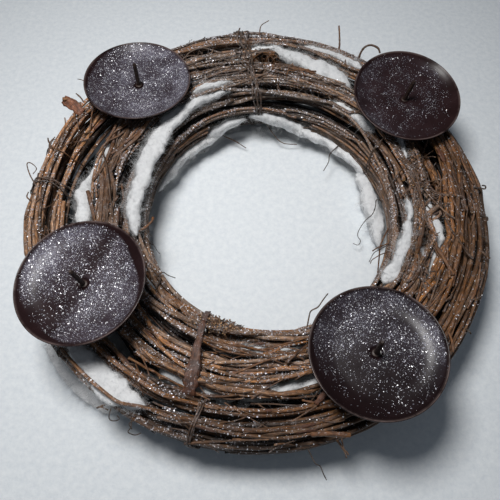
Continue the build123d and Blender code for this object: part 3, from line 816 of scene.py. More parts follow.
builds = {}
for i, (name, home, r0, first, wound, warm) in enumerate(stems):
    Rm = HOME[i, :, 0].mean()
    n = int(math.radians(wound) * Rm / 2.8)
    th = math.radians(first) + np.linspace(0, math.radians(wound), n)
    rz = course(i, th)
    s = np.linspace(0, math.radians(wound) * Rm, n)
    # a slight zigzag from node to node of the stem, and swellings at the nodes
    knots = np.cumsum(rng.uniform(38, 85, 30))
    zig = np.interp(s, knots, rng.normal(0, 0.34, 30)), np.interp(s, knots, rng.normal(0, 0.3, 30))
    R, z = rz[:, 0] + zig[0], rz[:, 1] + zig[1]
    for at in (0, n - 1):
        lift = rng.uniform(0, 1) ** 2 * 4.0
        w = np.clip(1 - np.abs(s - s[at]) / rng.uniform(14, 28), 0, 1) ** 2
        side = -1.0 if Rm < 112 else 1.0 if Rm > 150 else 0.0
        R, z = R + lift * 0.5 * side * w, z + lift * 0.6 * w * (1 if z[at] > 30 else 0)
    z = np.clip(z, r0 * 1.2 + 0.2, 60.5 - r0)
    step = np.arange(0, s[-1] + 9, 9)
    rad = r0 * (1.1 - 0.28 * s / s[-1]) * (1 + 0.05 * np.interp(s, step, rng.normal(size=len(step))))
    for kn in knots[knots < s[-1]]:
        rad *= 1 + rng.uniform(0.08, 0.38) * np.exp(-((s - kn) / rng.uniform(1.5, 2.8)) ** 2)
    hue = np.clip(hue_at(R, th) + warm + rng.normal(0, 0.1), 0, 1)
    # each stem's lightness: its own random tone and along-stem variation, times painted light by region, times painted
    # shade that darkens the stems lower down
    dark = np.clip(rng.normal(1.0, 0.34), 0.4, 1.7) * painted_light_at(R, th) * (1 + 0.1 * np.interp(s, step, rng.normal(size=len(step)))) * (0.36 + 0.64 * np.clip((z - 12) / 40, 0, 1))
    hidden = name.startswith(("core", "base")) or name.endswith(("heart", "heart_low"))
    # painted shade: stems inside the ring are darkened further
    dark = dark * (0.36 if hidden else 1.0)
    b = builds.setdefault(name, Build())
    tube(b, ring(R, th, z), rad, 6 if hidden else 9, hue, dark, dust_at(R, th) * rng.uniform(0.6, 1.15), 0.07, True, True)
for name, b in builds.items():
    b.make(name + "_stems" if name in STRANDS else name, VINE, "wreath", "vine", [name] if name in STRANDS else [])

# surface of the stems: where they are seen from above, and how high they stand
PTS = np.concatenate([s[0] for s in SKIN])
NRM = np.concatenate([s[1] for s in SKIN])
DST = np.concatenate([s[2] for s in SKIN])
TAN = np.concatenate([s[3] for s in SKIN])
CELL = 2.0
GX, GY = ((PTS[:, :2] + 220) / CELL).astype(int).T
HIGH = np.full((222, 222), -1.0)
np.maximum.at(HIGH, (GX, GY), PTS[:, 2])
SEEN = (PTS[:, 2] > HIGH[GX, GY] - 5.0) & (NRM[:, 2] > -0.05)
PU, PV, PW = proj(PTS)


def top(x, y):
    """Height of the stems at these places."""
    i, j = ((np.asarray(x) + 220) / CELL).astype(int), ((np.asarray(y) + 220) / CELL).astype(int)
    h = HIGH[i, j]
    for di, dj in ((1, 0), (-1, 0), (0, 1), (0, -1)):
        n = HIGH[i + di, j + dj]
        h = np.where(h < n - 6, n - 1.0, h)
    return h


def anchor(u, v):
    """Point on the stems that the camera sees at this place."""
    d = np.hypot(PU - u, PV - v)
    near = np.where(d < 2.5)[0]
    if len(near) == 0:
        near = np.argsort(d)[:12]
    return PTS[near[np.argmin(PW[near])]]


# ------------------------------------------------------------------ fleece strips
FIBRES = Build()
CRUMB_AT = []


JOIN = {"fleece_inner_left": (4.5, 0), "fleece_back_left": (1.5, 5.0), "fleece_inner_back": (3.5, 5.0), "fleece_back_right": (5.0, 3.0), "fleece_inner_right": (0, 6.0)}
# each strip's lightness: partly the cotton's own tone, partly painted light, with the strips that lie in shade
# (inner_left, outer_left) made lighter
FLEECE_TONE_AND_PAINTED_LIGHT = {"fleece_crest_left": 0.87, "fleece_crest_right": 0.89, "fleece_crown_back": 0.88, "fleece_pocket_left": 0.93, "fleece_channel_left": 0.89, "tuft_crown": 0.87, "tuft_back": 0.87, "fleece_outer_left": 1.05, "fleece_channel_right": 0.92, "fleece_inner_left": 1.03, "fleece_inner_back": 1.0}


def row_noise(pos, scale, seed):
    return np.array([noise.noise(Vector((x * scale, seed, seed * 0.37))) for x in pos])


def fleece_strip(name, b, fuzz=19.0):
    (R0, z0, hw0, hh0, first, last), knots = (FLEECES.get(name) or TUFTS[name])
    first, last = first - JOIN.get(name, (0, 0))[0], last + JOIN.get(name, (0, 0))[1]
    n = int(math.radians(last - first) * R0 / 1.0)
    m = 40
    deg = np.linspace(first, last, n)
    th = np.radians(deg)
    s = np.radians(deg) * R0
    R, z, hw, hh = fleece_course(name, deg)
    sd = 7.3 + R0 + first
    R = R + 0.5 * row_noise(s, 0.05, sd)
    z = z + 0.35 * row_noise(s, 0.06, sd + 9)
    ends = np.clip(np.minimum(s - s[0], s[-1] - s) / 7.0, 0.02, 1) ** 0.55
    fray = 0.3 if name == "fleece_outer_left" else 1.0
    rag = lambda o: 1 + fray * (0.4 * row_noise(s, 0.07, sd + o) + 0.2 * row_noise(s, 0.17, sd + o + 5) + 0.08 * row_noise(s, 0.6, sd + o + 8))
    left, right, up = rag(2), rag(4), 1 + 0.08 * row_noise(s, 0.08, sd + 6)
    c = ring(R, th, z)
    out = np.stack([np.cos(th), np.sin(th), 0 * th], -1)
    a = 2 * np.pi * np.arange(m) / m
    ca, sa = np.cos(a), np.sin(a)
    e = 0.82
    ux, uy = np.sign(ca) * np.abs(ca) ** e, np.sign(sa) * np.abs(sa) ** e
    wide = np.where(ux[None, :] > 0, right[:, None], left[:, None]) * (hw * ends)[:, None] * ux[None, :]
    tall = (hh * ends * up)[:, None] * uy[None, :]
    V = c[:, None] + wide[..., None] * out[:, None] + tall[..., None] * Z
    nrm = unit(ca[None, :, None] / hw0 * out[:, None] + sa[None, :, None] / hh0 * Z + 0 * V)
    flat, fn = V.reshape(-1, 3), nrm.reshape(-1, 3)
    disp = np.array([1.5 * noise.noise(Vector(p * 0.11)) + 0.8 * noise.noise(Vector(p * 0.23)) + 0.34 * noise.noise(Vector(p * 0.8)) + 0.2 * noise.noise(Vector(p * 2.1)) for p in flat])
    flat = flat + fn * (disp * (0.35 if name == "fleece_outer_left" else 1.0) * np.repeat(ends, m))[:, None]
    flat[:, 2] = np.maximum(flat[:, 2], 0.5)
    j, k = np.meshgrid(np.arange(n - 1), np.arange(m), indexing="ij")
    k2 = (k + 1) % m
    q = np.stack([j * m + k, j * m + k2, (j + 1) * m + k2, (j + 1) * m + k], -1).reshape(-1, 4)
    uv = np.stack([np.stack([jj * 0.001, kk * 0.0008], -1) for jj, kk in ((j, k), (j, k + 1), (j + 1, k + 1), (j + 1, k))], -2)
    tips = np.stack([c[0], c[-1]])
    low, high = np.arange(m), (n - 1) * m + np.arange(m)
    t0 = np.stack([np.full(m, n * m), np.roll(low, -1), low], -1)
    t1 = np.stack([np.full(m, n * m + 1), high, np.roll(high, -1)], -1)
    side = np.abs(ca)[None, :] ** 6 + 0 * ends[:, None]
    tone = np.zeros((n * m + 2, 4))
    tone[:-2, 2] = (0.03 + 0.22 * side).ravel() * (name != "fleece_outer_left")
    tone[:, 1] = FLEECE_TONE_AND_PAINTED_LIGHT.get(name, 0.95)
    b.add(np.concatenate([flat, tips]), tone, q, uv.reshape(-1, 4, 2), np.concatenate([t0, t1]), np.zeros((2 * m, 3, 2)))
    # loose fibres standing off the surface, most of them at the edges
    count = int((s[-1] - s[0]) * fuzz)
    w = np.repeat((0.16 + np.abs(ca)[None, :] ** 5) * (sa[None, :] > 0.05) * np.where(ca < -0.3, 0.3 if name == "fleece_crest_left" else 1.0, 1.0)[None, :], n, 0).ravel()
    pick = rng.choice(n * m, count, p=w / w.sum())
    d = unit(fn[pick] + 0.75 * rng.normal(size=(count, 3)))
    bend = unit(rng.normal(size=(count, 3))) * rng.uniform(0.2, 0.7, (count, 1))
    L = rng.gamma(2.6, 0.75, count) + 0.6
    hairs(FIBRES, flat[pick] - fn[pick] * 0.3, d, bend, np.minimum(L, 6.0), rng.uniform(0.045, 0.09, count))
    edge = np.where((np.abs(np.tile(ca, n)) > 0.75) & (np.tile(sa, n) > -0.4))[0]
    sel = edge[rng.integers(0, len(edge), int((s[-1] - s[0]) * (0.0 if name == "fleece_outer_left" else 0.8)))]
    CRUMB_AT.append((flat[sel], fn[sel]))
    # wisps teased out sideways over the stems
    k, per = int((s[-1] - s[0]) / 1.9), 10
    row, way = rng.integers(2, n - 2, k), np.where(rng.uniform(size=k) < (0.75 if name == "fleece_crest_left" else 0.5), 1, -1)
    col = np.where(way > 0, rng.integers(1, 7, k), m // 2 - rng.integers(1, 7, k))
    along = np.stack([-np.sin(th), np.cos(th), 0 * th], -1)[row]
    d = unit(out[row] * (way * rng.uniform(0.2, 1.0, k))[:, None] + along * rng.uniform(-1, 1, (k, 1)) + Z * rng.uniform(0.0, 0.45, (k, 1)))
    base = np.repeat(flat[row * m + col], per, 0) + 1.3 * rng.normal(size=(k * per, 3)) * np.array([1, 1, 0.4])
    d = unit(np.repeat(d, per, 0) + 0.32 * rng.normal(size=(k * per, 3)))
    bend = 0.35 * rng.normal(size=(k * per, 3)) - 0.12 * Z
    hairs(FIBRES, base, d, bend, np.repeat(rng.uniform(2.5, 7.5, k), per) * rng.uniform(0.6, 1.1, k * per) * (0.5 if name == "fleece_outer_left" else 1.0), rng.uniform(0.05, 0.1, k * per))


for name in FLEECES:
    b = Build()
    fleece_strip(name, b)
    ob = b.make(name + "_strip", FLEECE, "wreath", "fleece", [name])
b = Build()
for name in TUFTS:
    fleece_strip(name, b, 14.0)
b.make("fleece_tufts", FLEECE, "wreath", "fleece")
for count, (a0, a1), (r0, r1), (z0, z1) in [(200, (166, 200), (87.5, 94), (44, 54)), (500, (124, 162), (86.5, 92), (12, 22)), (500, (36, 100), (88, 93), (9, 20)), (260, (-20, 6), (104, 118), (50, 56))]:
    th = np.radians(rng.uniform(a0, a1, count))
    p0 = ring(rng.uniform(r0, r1, count), th, rng.uniform(z0, z1, count))
    hairs(FIBRES, p0, unit(rng.normal(size=(count, 3))), unit(rng.normal(size=(count, 3))) * rng.uniform(0.2, 0.8, (count, 1)), rng.uniform(2.0, 6.0, count), rng.uniform(0.04, 0.085, count))
    CRUMB_AT.append((p0[: count // 4], unit(rng.normal(size=(count // 4, 3)))))
FIBRES.make("fleece_fibres", FLEECE, "wreath", "fleece")
# bark crumbs caught in the edges of the fleece
crumb = Build()
cp, cn = np.concatenate([c[0] for c in CRUMB_AT]), np.concatenate([c[1] for c in CRUMB_AT])
flakes(crumb, cp + cn * rng.uniform(0, 0.7, (len(cp), 1)), cn, rng.uniform(0.14, 0.42, len(cp)), 0.8)
for tone in crumb.tone:
    tone[:, 1], tone[:, 2], tone[:, 3] = 0.7, 0.2, 0.0
crumb.make("bark_crumbs", TWIG, "wreath", "twig", smooth=False)


# ------------------------------------------------------------------ wraps round the ring
def hull(points):
    pts = sorted(map(tuple, points))
    def half(seq):
        out = []
        for p in seq:
            while len(out) > 1 and (out[-1][0] - out[-2][0]) * (p[1] - out[-2][1]) - (out[-1][1] - out[-2][1]) * (p[0] - out[-2][0]) <= 0:
                out.pop()
            out.append(p)
        return out[:-1]
    return np.array(half(pts) + half(pts[::-1]))


def section(angle, lo, hi, off, line=None):
    """Outline of the stems wound between two radii, off millimetres outside them, at this angle or along a line."""
    k = int(round((math.radians(angle) % (2 * np.pi)) / (2 * np.pi) * K)) % K
    pts = []
    for dk in (-1, 0, 1) if line is None else range(-9, 7):
        R, z = P[:, (k + dk) % K, 0], P[:, (k + dk) % K, 1]
        sel = (R > lo) & (R < hi) & (LIVE[:, (k + dk) % K] > 0)
        if line is not None:
            sel &= np.abs((line(R) - TH[(k + dk) % K] + np.pi) % (2 * np.pi) - np.pi) < math.radians(2.0)
        if not sel.any():
            continue
        for a in np.linspace(0, 2 * np.pi, 20, endpoint=False):
            pts.append(np.stack([R[sel] + (RAD[sel] * 1.15 + off) * np.cos(a), z[sel] + (RAD[sel] * 1.15 + off) * np.sin(a)], -1))
    h = hull(np.concatenate(pts))
    h[:, 1] = np.maximum(h[:, 1], off)
    closed = np.concatenate([h, h[:1]])
    s = np.concatenate([[0], np.cumsum(np.linalg.norm(np.diff(closed, axis=0), axis=1))])
    x = np.arange(0, s[-1], 1.5)
    return np.stack([np.interp(x, s, closed[:, 0]), np.interp(x, s, closed[:, 1])], -1)


# wrap: angle, radii it goes round, twig radius, warmth, turns, sideways wander, dust
WRAPS = {
    "front_twig_wrap": (-102.6, 140, 172, 0.55, 0.4, 3, 2.4, 0.8),
    "back_twig_wrap": (97.5, 85, 172, 0.5, 0.9, 6, 4.2, 1.0),
    "left_upper_twig_wrap": (167.3, 140, 172, 0.52, 0.0, 1, 1.6, 0.15),
    "left_lower_twig_wrap": (177.4, 140, 172, 0.46, 0.75, 3, 2.6, 0.7),
    "right_twig_wrap": (31.0, 85, 139, 0.42, 0.9, 2, 2.8, 1.0),
}
for name, (angle, lo, hi, r, hue, turns, wander, dust) in WRAPS.items():
    b = Build()
    o = section(angle, lo, hi, r)
    o = np.roll(o, -int(np.argmin(o[:, 1] + 0.02 * o[:, 0])), 0)
    mid = o.mean(0)
    for turn in range(turns):
        m = len(o)
        loop = np.concatenate([o, o[: m // 7]])
        n = len(loop)
        x = np.arange(n)
        lift = np.concatenate([np.zeros(m), np.linspace(0, 1.8 * r, m // 7)]) + 0.5 * r * (turn % 2) + 0.25 * np.interp(x, np.arange(0, n + 6, 6), rng.normal(size=len(np.arange(0, n + 6, 6)))) ** 2
        grow = loop + unit(loop - mid) * lift[:, None]
        steps = np.arange(0, n + 12, 12)
        side = wander * (np.interp(x, steps, rng.normal(size=len(steps))) + 0.9 * rng.normal() + 0.25 * (turn - turns / 2))
        th = math.radians(angle) + side / 150 + np.linspace(0, 2.2 * r / 140, n)
        path = ring(grow[:, 0], th, np.maximum(grow[:, 1], r))
        k = np.ones(5) / 5
        path[2:-2] = np.stack([np.convolve(path[:, i], k, "valid") for i in range(3)], -1)
        path[:, 2] = np.maximum(path[:, 2], r)
        rr = r * rng.uniform(0.8, 1.15)
        rad = rr * (1.1 - 0.35 * np.linspace(0, 1, n)) * (1 + 0.08 * rng.normal(size=n))
        tube(b, path, rad, 8, hue + rng.normal(0, 0.12), rng.uniform(0.65, 1.05), dust, 0.12)
    b.make(name.replace("_wrap", "_winding"), TWIG, "wreath", "twig", [name])


def ribbon(b, path, nrm, width, thick, hue, dark, dust):
    """A strip of bark: a flat band with a slight hollow and frayed edges."""
    n = len(path)
    T = unit(np.gradient(path, axis=0))
    side = unit(np.cross(nrm, T))
    nrm = np.cross(T, side)
    x = np.array([-1, -0.55, 0, 0.55, 1])
    fray = 1 + 0.12 * lerp_rows(rng.normal(size=(max(3, n // 2), 2)), n)
    half = np.where(x < 0, fray[:, :1], fray[:, 1:]) * x * width[:, None] / 2
    cup = thick * 0.5 * (1 - x[None, :] ** 2) + 0.12 * thick * rng.normal(size=(n, 5)) + 0.28 * thick * lerp_rows(rng.normal(size=(max(3, n // 7), 5)), n)
    upper = path[:, None] + half[:, :, None] * side[:, None] + (cup + thick * 0.5)[:, :, None] * nrm[:, None]
    under = path[:, None] + half[:, ::-1, None] * side[:, None] + (cup[:, ::-1] - thick * 0.5)[:, :, None] * nrm[:, None]
    V = np.concatenate([upper, under], 1)
    m = 10
    j, k = np.meshgrid(np.arange(n - 1), np.arange(m), indexing="ij")
    k2 = (k + 1) % m
    q = np.stack([j * m + k, j * m + k2, (j + 1) * m + k2, (j + 1) * m + k], -1).reshape(-1, 4)
    s = np.concatenate([[0], np.cumsum(np.linalg.norm(np.diff(path, axis=0), axis=1))]) * MM
    v = np.arange(m + 1) * 0.0012
    uv = np.stack([np.stack([s[jj], v[kk]], -1) for jj, kk in ((j, k), (j, k + 1), (j + 1, k + 1), (j + 1, k))], -2)
    e0 = np.array([[0, 9, 8, 1], [1, 8, 7, 2], [2, 7, 6, 3], [3, 6, 5, 4]])
    e1 = (n - 1) * m + e0[:, ::-1]
    q = np.concatenate([q, e0, e1])
    uv = np.concatenate([uv.reshape(-1, 4, 2), np.zeros((8, 4, 2))])
    tone = np.tile([hue, dark, dust, 0.0], (n * m, 1))
    b.add(V.reshape(-1, 3), tone, q, uv)


b = Build()
a0, s0 = math.radians(-106.8), math.radians(-97.8)
far = ecc(134.9) * math.cos(a0) + math.sqrt(134.9**2 - (ecc(134.9) * math.sin(a0)) ** 2)
t = np.linspace(-70, 30, 101)
line = np.stack([SX + far * math.cos(a0) + t * math.cos(s0), SY + far * math.sin(a0) + t * math.sin(s0), 0 * t], -1)
line_R, line_a = unring(line)
line_th = lambda R: np.interp(R, line_R, line_a)
o = section(-106.5, 85, 141, 0.4, line_th)
o = np.roll(o, -int(np.argmin(o[:, 1])), 0)
o = np.concatenate([o, o[: len(o) // 10]])
path = ring(o[:, 0], line_th(o[:, 0]), np.maximum(o[:, 1], 0.9))
mid = ring(np.array([115.0]), np.array([line_th(115.0)]), np.array([30.0]))[0]
tang = unit(np.gradient(path, axis=0))
across = np.array([-math.sin(s0), math.cos(s0), 0.0])
nrm = unit(np.cross(tang, across))
nrm *= np.sign(np.einsum("ij,ij->i", nrm, path - mid))[:, None]
width = np.interp(o[:, 0], [90, 101, 118, 134, 141], [3.2, 3.8, 5.6, 8.4, 9.2]) * (1 + 0.1 * rng.normal(size=len(o)))
ribbon(b, path, nrm, width, 0.9, 0.08, 0.74, 0.5)
b.make("front_bark_strip_band", STRIP, "wreath", "bark", ["front_bark_strip"])

# ------------------------------------------------------------------ fine twigs, tendrils, shoots and bark flakes
FINE = Build()


def drape(centre_R, centre_th, length, turn, r, rise, hue, dust, curl=0.0):
    """A short twig laid over the stems: follows their height, its ends standing off a little."""
    n = max(5, int(length / 2.0))
    s = np.linspace(-0.5, 0.5, n) * length
    a = centre_th + np.pi / 2 + turn + curl * s / length
    c = ring(np.array([centre_R]), np.array([centre_th]), np.array([0.0]))[0]
    x = c[0] + np.cumsum(np.cos(a)) * length / n
    y = c[1] + np.cumsum(np.sin(a)) * length / n
    x, y = x - x.mean() + c[0], y - y.mean() + c[1]
    z = top(x, y)
    z = np.where(z < 2, np.median(z), z)
    for k in PLATES:
        foot = LIPS[k] - AXES[k] * 16.0
        if np.hypot(x - foot[0], y - foot[1]).min() < 4.5:
            return
    for _ in range(6):
        zz = np.concatenate([[z[0]], z, [z[-1]]])
        z = np.maximum(z - 0.6, (zz[:-2] + zz[1:-1] + zz[2:]) / 3)
    e0, e1 = rng.uniform(-0.3, 1, 2) * rise
    z = z + r * 0.7 + e0 * np.clip(-s / length * 2 - 0.3, 0, 1) ** 2 + e1 * np.clip(s / length * 2 - 0.3, 0, 1) ** 2
    z = np.minimum(z, 64.0)
    rad = r * (1.15 - 0.55 * np.linspace(0, 1, n)) * (1 + 0.08 * rng.normal(size=n))
    tube(FINE, np.stack([x, y, z], -1), rad, 6, hue, rng.uniform(0.35, 1.25) if length < 14 else rng.uniform(0.55, 1.45), dust, 0.08)


def bare(R, deg):
    """True over the fleece that lies open between the stems."""
    for name, ((R0, z0, hw, hh, first, last), knots) in {**FLEECES, **TUFTS}.items():
        mid = (first + last) / 2
        d = mid + (deg - mid + 180) % 360 - 180
        if z0 > 38 and first < d < last:
            Rc, zc, w, h = fleece_course(name, d)
            if zc + h > 49 and abs(R - Rc) < w * 0.95:
                return True
    return False


# tangles: count, angles, radii, lengths, sideways turn, radius, end rise, warmth, dust
for count, (a0, a1), (r0, r1), (l0, l1), turn, (t0, t1), rise, hue, dust in [
    (90, (-32, 27), (104, 130), (12, 34), 0.6, (0.3, 0.7), 2.6, 0.6, 1.0),
    (240, (-30, 8), (104, 132), (3, 10), 1.3, (0.22, 0.45), 2.0, 0.5, 1.0),
    (300, (62, 118), (100, 162), (3, 11), 0.9, (0.2, 0.42), 1.6, 0.85, 1.0),
    (70, (164, 202), (88, 98), (3, 9), 1.2, (0.2, 0.4), 2.4, 0.6, 0.6),
    (16, (150, 196), (104, 136), (26, 62), 0.28, (0.6, 1.05), 2.5, 0.45, 0.5),
    (34, (62, 116), (104, 150), (24, 60), 0.25, (0.5, 1.0), 2.0, 0.75, 1.0),
    (60, (76, 94), (121, 139), (10, 30), 0.35, (0.35, 0.7), 1.2, 0.06, 0.12),
    (30, (-36, 30), (106, 134), (26, 60), 0.3, (0.5, 1.0), 2.5, 0.3, 0.7),
    (14, (-36, 40), (136, 162), (26, 60), 0.07, (0.7, 1.2), 0.8, 0.2, 0.6),
    (20, (228, 316), (104, 164), (26, 60), 0.16, (0.6, 1.0), 2.0, 0.2, 0.5),
    (120, (-116, -103), (91.5, 104), (2, 6), 1.5, (0.25, 0.55), 2.8, 0.5, 0.8),
    (26, (8, 30), (106, 122), (8, 20), 1.1, (0.25, 0.5), 3.5, 0.7, 1.0),
    (340, (-4, 30), (103, 127), (3, 10), 1.3, (0.22, 0.48), 2.0, 0.55, 1.0),
    (70, (-114, -99), (91.5, 99), (2, 5), 1.5, (0.25, 0.5), 2.4, 0.5, 0.7),
    (60, (76, 112), (106, 146), (12, 30), 0.5, (0.3, 0.6), 2.0, 0.85, 1.0),
    (30, (60, 90), (112, 128), (10, 24), 0.7, (0.25, 0.5), 1.5, 0.3, 0.5),
    (14, (158, 192), (106, 134), (12, 34), 0.6, (0.3, 0.65), 2.5, 0.6, 0.7),
    (26, (228, 262), (112, 142), (10, 28), 0.4, (0.3, 0.6), 1.5, 0.3, 0.4),
    (34, (262, 320), (106, 150), (10, 30), 0.4, (0.3, 0.6), 1.5, 0.35, 0.5),
    (26, (150, 200), (144, 166), (14, 36), 0.3, (0.3, 0.6), 2.0, 0.3, 0.4),
    (14, (-40, 30), (134, 163), (14, 40), 0.1, (0.35, 0.6), 0.7, 0.15, 0.4),
    (24, (225, 310), (146, 164), (14, 36), 0.22, (0.35, 0.65), 1.6, 0.45, 0.6),
    (16, (150, 194), (109, 133), (40, 76), 0.2, (1.1, 1.6), 1.6, 0.4, 0.6),
    (12, (-30, 24), (108, 132), (24, 52), 0.45, (0.8, 1.3), 2.0, 0.3, 0.6),
]:
    for _ in range(count):
        at, deg = rng.uniform(r0, r1), rng.uniform(a0, a1)
        long, way = rng.uniform(l0, l1), rng.normal(0, turn)
        over = [bare(at + k * long * math.sin(-way), deg + math.degrees(k * long * math.cos(way) / at)) for k in (-0.45, -0.22, 0, 0.22, 0.45)]
        if over[2] or (any(over) and rng.uniform() < 0.8):
            continue
        drape(at, math.radians(deg), long, way, rng.uniform(t0, t1),
              rise, np.clip(hue + rng.normal(0, 0.15), 0, 1), dust * rng.uniform(0.5, 1.0), rng.normal(0, 0.5))

# tendrils and loose twigs that stand off the ring: places in the frame with rise over the stem they grow from,
# then radius at the foot and at the tip, warmth
TENDRILS = [
    ([(258, 34, 0), (261, 26, 3), (269, 20.5, 5)], 0.55, 0.3, 0.4),
    ([(339.5, 45, -1), (339.5, 36, 3), (339, 26, 6)], 0.95, 0.75, 0.3),
    ([(361, 52, -1), (365, 47, 2), (371, 45, 3), (378, 48, 3), (380, 53, 1)], 1.0, 0.8, 0.4),
    ([(380.8, 201, 0), (376.5, 200, 2), (375.5, 206, 2), (372.5, 214, 0), (365, 221, -4), (359, 230, -9), (357.7, 236, -12), (360.5, 241, -14), (358, 245, -15), (353, 243.5, -15)], 0.42, 0.26, 0.9),
    ([(383, 228, 0), (381, 244, 1), (379, 260, 2), (377.7, 273, 2), (377, 279, 1)], 0.6, 0.5, 0.2),
    ([(156, 288, 0), (160, 280, 2), (159.5, 273, 3), (158, 271.5, 3)], 0.5, 0.35, 0.8),
    ([(159, 276, 2), (163, 272.5, 3), (168.5, 275.5, 3), (175.5, 278, 2)], 0.38, 0.24, 0.9),
    ([(36, 184, 0), (30, 175, 2), (27, 164, 4), (31, 163, 5), (36.5, 168.5, 5), (33, 174, 4)], 0.5, 0.28, 0.5),
    ([(29.5, 201, 0), (27, 197, 1), (28.5, 192, 2)], 0.6, 0.4, 0.3),
    ([(86, 83, 0), (82, 80, 1), (77.5, 79, 2)], 0.5, 0.3, 0.7),
    ([(239, 38, 0), (238.2, 33, 2), (240, 28, 4)], 0.75, 0.5, 0.7),
    ([(131, 166, 1), (137, 162, 3), (144, 163, 3), (147.3, 168, 2), (147.6, 173, 1)], 0.42, 0.3, 0.9),
    ([(226, 137, -1), (235, 141, -3), (246, 148, -8)], 0.5, 0.35, 0.2),
    ([(264, 125, 0), (274, 135, -6), (283, 143, -9), (297, 144.5, -11)], 0.45, 0.3, 0.6),
    ([(330, 154, 0), (328.5, 162, -4), (323.5, 171, -8)], 0.5, 0.3, 0.9),
    ([(475, 186, 0), (480, 188, 2), (485, 189, 3), (485.5, 186, 4), (482, 185.5, 4)], 0.6, 0.5, 0.9),
    ([(482, 216, 0), (487, 217.5, 2), (487.5, 220.5, 2)], 0.8, 0.55, 0.9),
    ([(483, 234, 0), (486, 238, 1), (486.5, 242, 1)], 0.6, 0.4, 0.8),
    ([(483, 250, 0), (487, 256, 1), (490, 258.5, 1)], 0.8, 0.5, 0.6),
    ([(309, 317, 0), (311, 311, 2), (318, 307, 4), (323, 300, 6), (328, 293.5, 7)], 0.5, 0.4, 0.7),
    ([(312.5, 458, 0), (315, 463, 0), (320, 466, -1), (323.5, 474, -2), (326.5, 480, -3)], 0.45, 0.3, 0.9),
    ([(388, 244, 0), (381, 249, 2), (374, 253, 3), (369, 262, 3)], 0.4, 0.26, 0.9),
    ([(390, 249, 0), (381, 254.5, 1), (372, 260, 2), (370.5, 263.5, 2)], 0.42, 0.3, 0.2),
    ([(387, 243, 0), (379, 247, 1), (372.5, 251, 2)], 0.5, 0.4, 0.1),
    ([(428, 231, 1.5), (437, 247, 2), (446, 262, 2), (453.5, 274.5, 2.4)], 1.35, 1.2, 0.0),
    ([(450.5, 331, 0), (452, 342, 0.6), (453, 352, 0.4)], 1.0, 0.7, 0.1),
    ([(342, 447, 0), (345, 452, 0.5), (346.5, 458, 0.5)], 0.7, 0.5, 0.5),
    ([(344, 449, 0.5), (347, 452, 0.5), (348.5, 455, 0.5)], 0.5, 0.4, 0.5),
    ([(312, 433.5, 1), (330, 433.5, 2.2), (350, 435, 2.4)], 1.5, 1.45, 0.0),
    ([(106, 412, 0), (109, 418, 1), (114, 421, 1), (119.5, 419, 1), (117, 415.5, 1)], 0.4, 0.28, 0.8),
    ([(128, 420, 0), (131, 427, 1), (128, 432, 1), (135, 435, 1), (141, 433, 0)], 0.4, 0.28, 0.8),
    ([(136, 424, 0), (133, 421, 2), (129, 424, 2), (132, 429, 2)], 0.36, 0.28, 0.9),
    ([(88, 361, 0), (92, 362.5, 1.5), (96.5, 359.5, 2.5)], 0.8, 0.6, 0.0),
    ([(60, 346, 0), (57, 352, 1), (59, 357, 1)], 0.7, 0.4, 0.8),
    ([(97, 408, 0), (101, 407, 1), (108, 410, 1)], 0.7, 0.4, 0.6),
    ([(50, 147, 0), (48.5, 141, 2), (48, 138, 3)], 0.75, 0.5, 0.4),
    ([(47, 152, 0), (50, 143, 1), (55, 137, 2)], 0.55, 0.4, 0.3),
    ([(84, 104, 0), (81, 98, 1), (76, 93.5, 2)], 0.6, 0.45, 0.3),
    ([(84, 112, 0), (79, 105, 2), (72, 100, 3), (63, 99, 4)], 1.1, 1.3, 0.0),
    ([(140, 232, 0), (146, 227, 2), (152, 221, 3), (153, 217.5, 3)], 1.0, 0.9, 0.0),
    ([(113, 104, 1), (127, 118, 2), (126, 124, 2)], 0.8, 0.6, 0.0),
    ([(104, 150, 1), (107, 170, 2.5), (110, 195, 2.5), (114, 222, 1.5)], 0.7, 0.5, 0.6),
    ([(396, 244, 1), (398, 254, 2), (396, 264, 2), (392, 272, 1)], 0.4, 0.26, 0.9),
    ([(345, 58, 1), (346, 64, 2), (349, 71, 1)], 0.4, 0.28, 0.6),
    ([(470, 300, 0), (476, 299, 1), (480, 297, 2)], 0.5, 0.3, 0.7),
    ([(465, 330, 0), (469, 331, 1), (471, 334, 1)], 0.8, 0.5, 0.9),
]
for pts, ra, rb, hue in TENDRILS:
    foot = anchor(pts[0][0], pts[0][1])
    p = np.array([px(u, v, max(foot[2] + dz, 1.0)) for u, v, dz in pts])
    p = np.concatenate([[foot - np.array([0, 0, 0.4])], p[1:]]) if np.linalg.norm(p[0] - foot) < 6 else np.concatenate([[foot - np.array([0, 0, 0.4])], p])
    p = smooth_path(p, 0.9)
    rad = np.linspace(ra, rb, len(p)) * (1 + 0.08 * rng.normal(size=len(p)))
    tube(FINE, p, np.maximum(rad, 0.15), 7, hue, 0.45 if hue > 0.75 else rng.uniform(0.75, 1.0) if hue > 0.15 else 1.15, 0.3, 0.08)

# a thatch of rusty stems in the hollow beside the winding at the back
for k in range(46):
    f = 1.16 * (k + rng.uniform(0, 1)) / 46
    long, way, r = rng.uniform(18, 42), rng.normal(0, 0.09), rng.uniform(0.5, 1.0)
    at, high = 134.5 + 12.0 * f, 45.9 - 3.0 * f + rng.uniform(-1.3, 0.0)
    s = np.linspace(-0.5, 0.5, 14)
    a = math.radians(rng.uniform(79, 97)) + s * long / at
    path = ring(at + way * s * long + rng.normal(0, 4.0) * s**2, a, high + rng.normal(0, 1.4) * s)
    tube(FINE, path, r * np.linspace(1.1, 0.7, 14), 7, rng.uniform(0, 0.22), rng.uniform(0.6, 1.3), 0.2, 0.08, True)

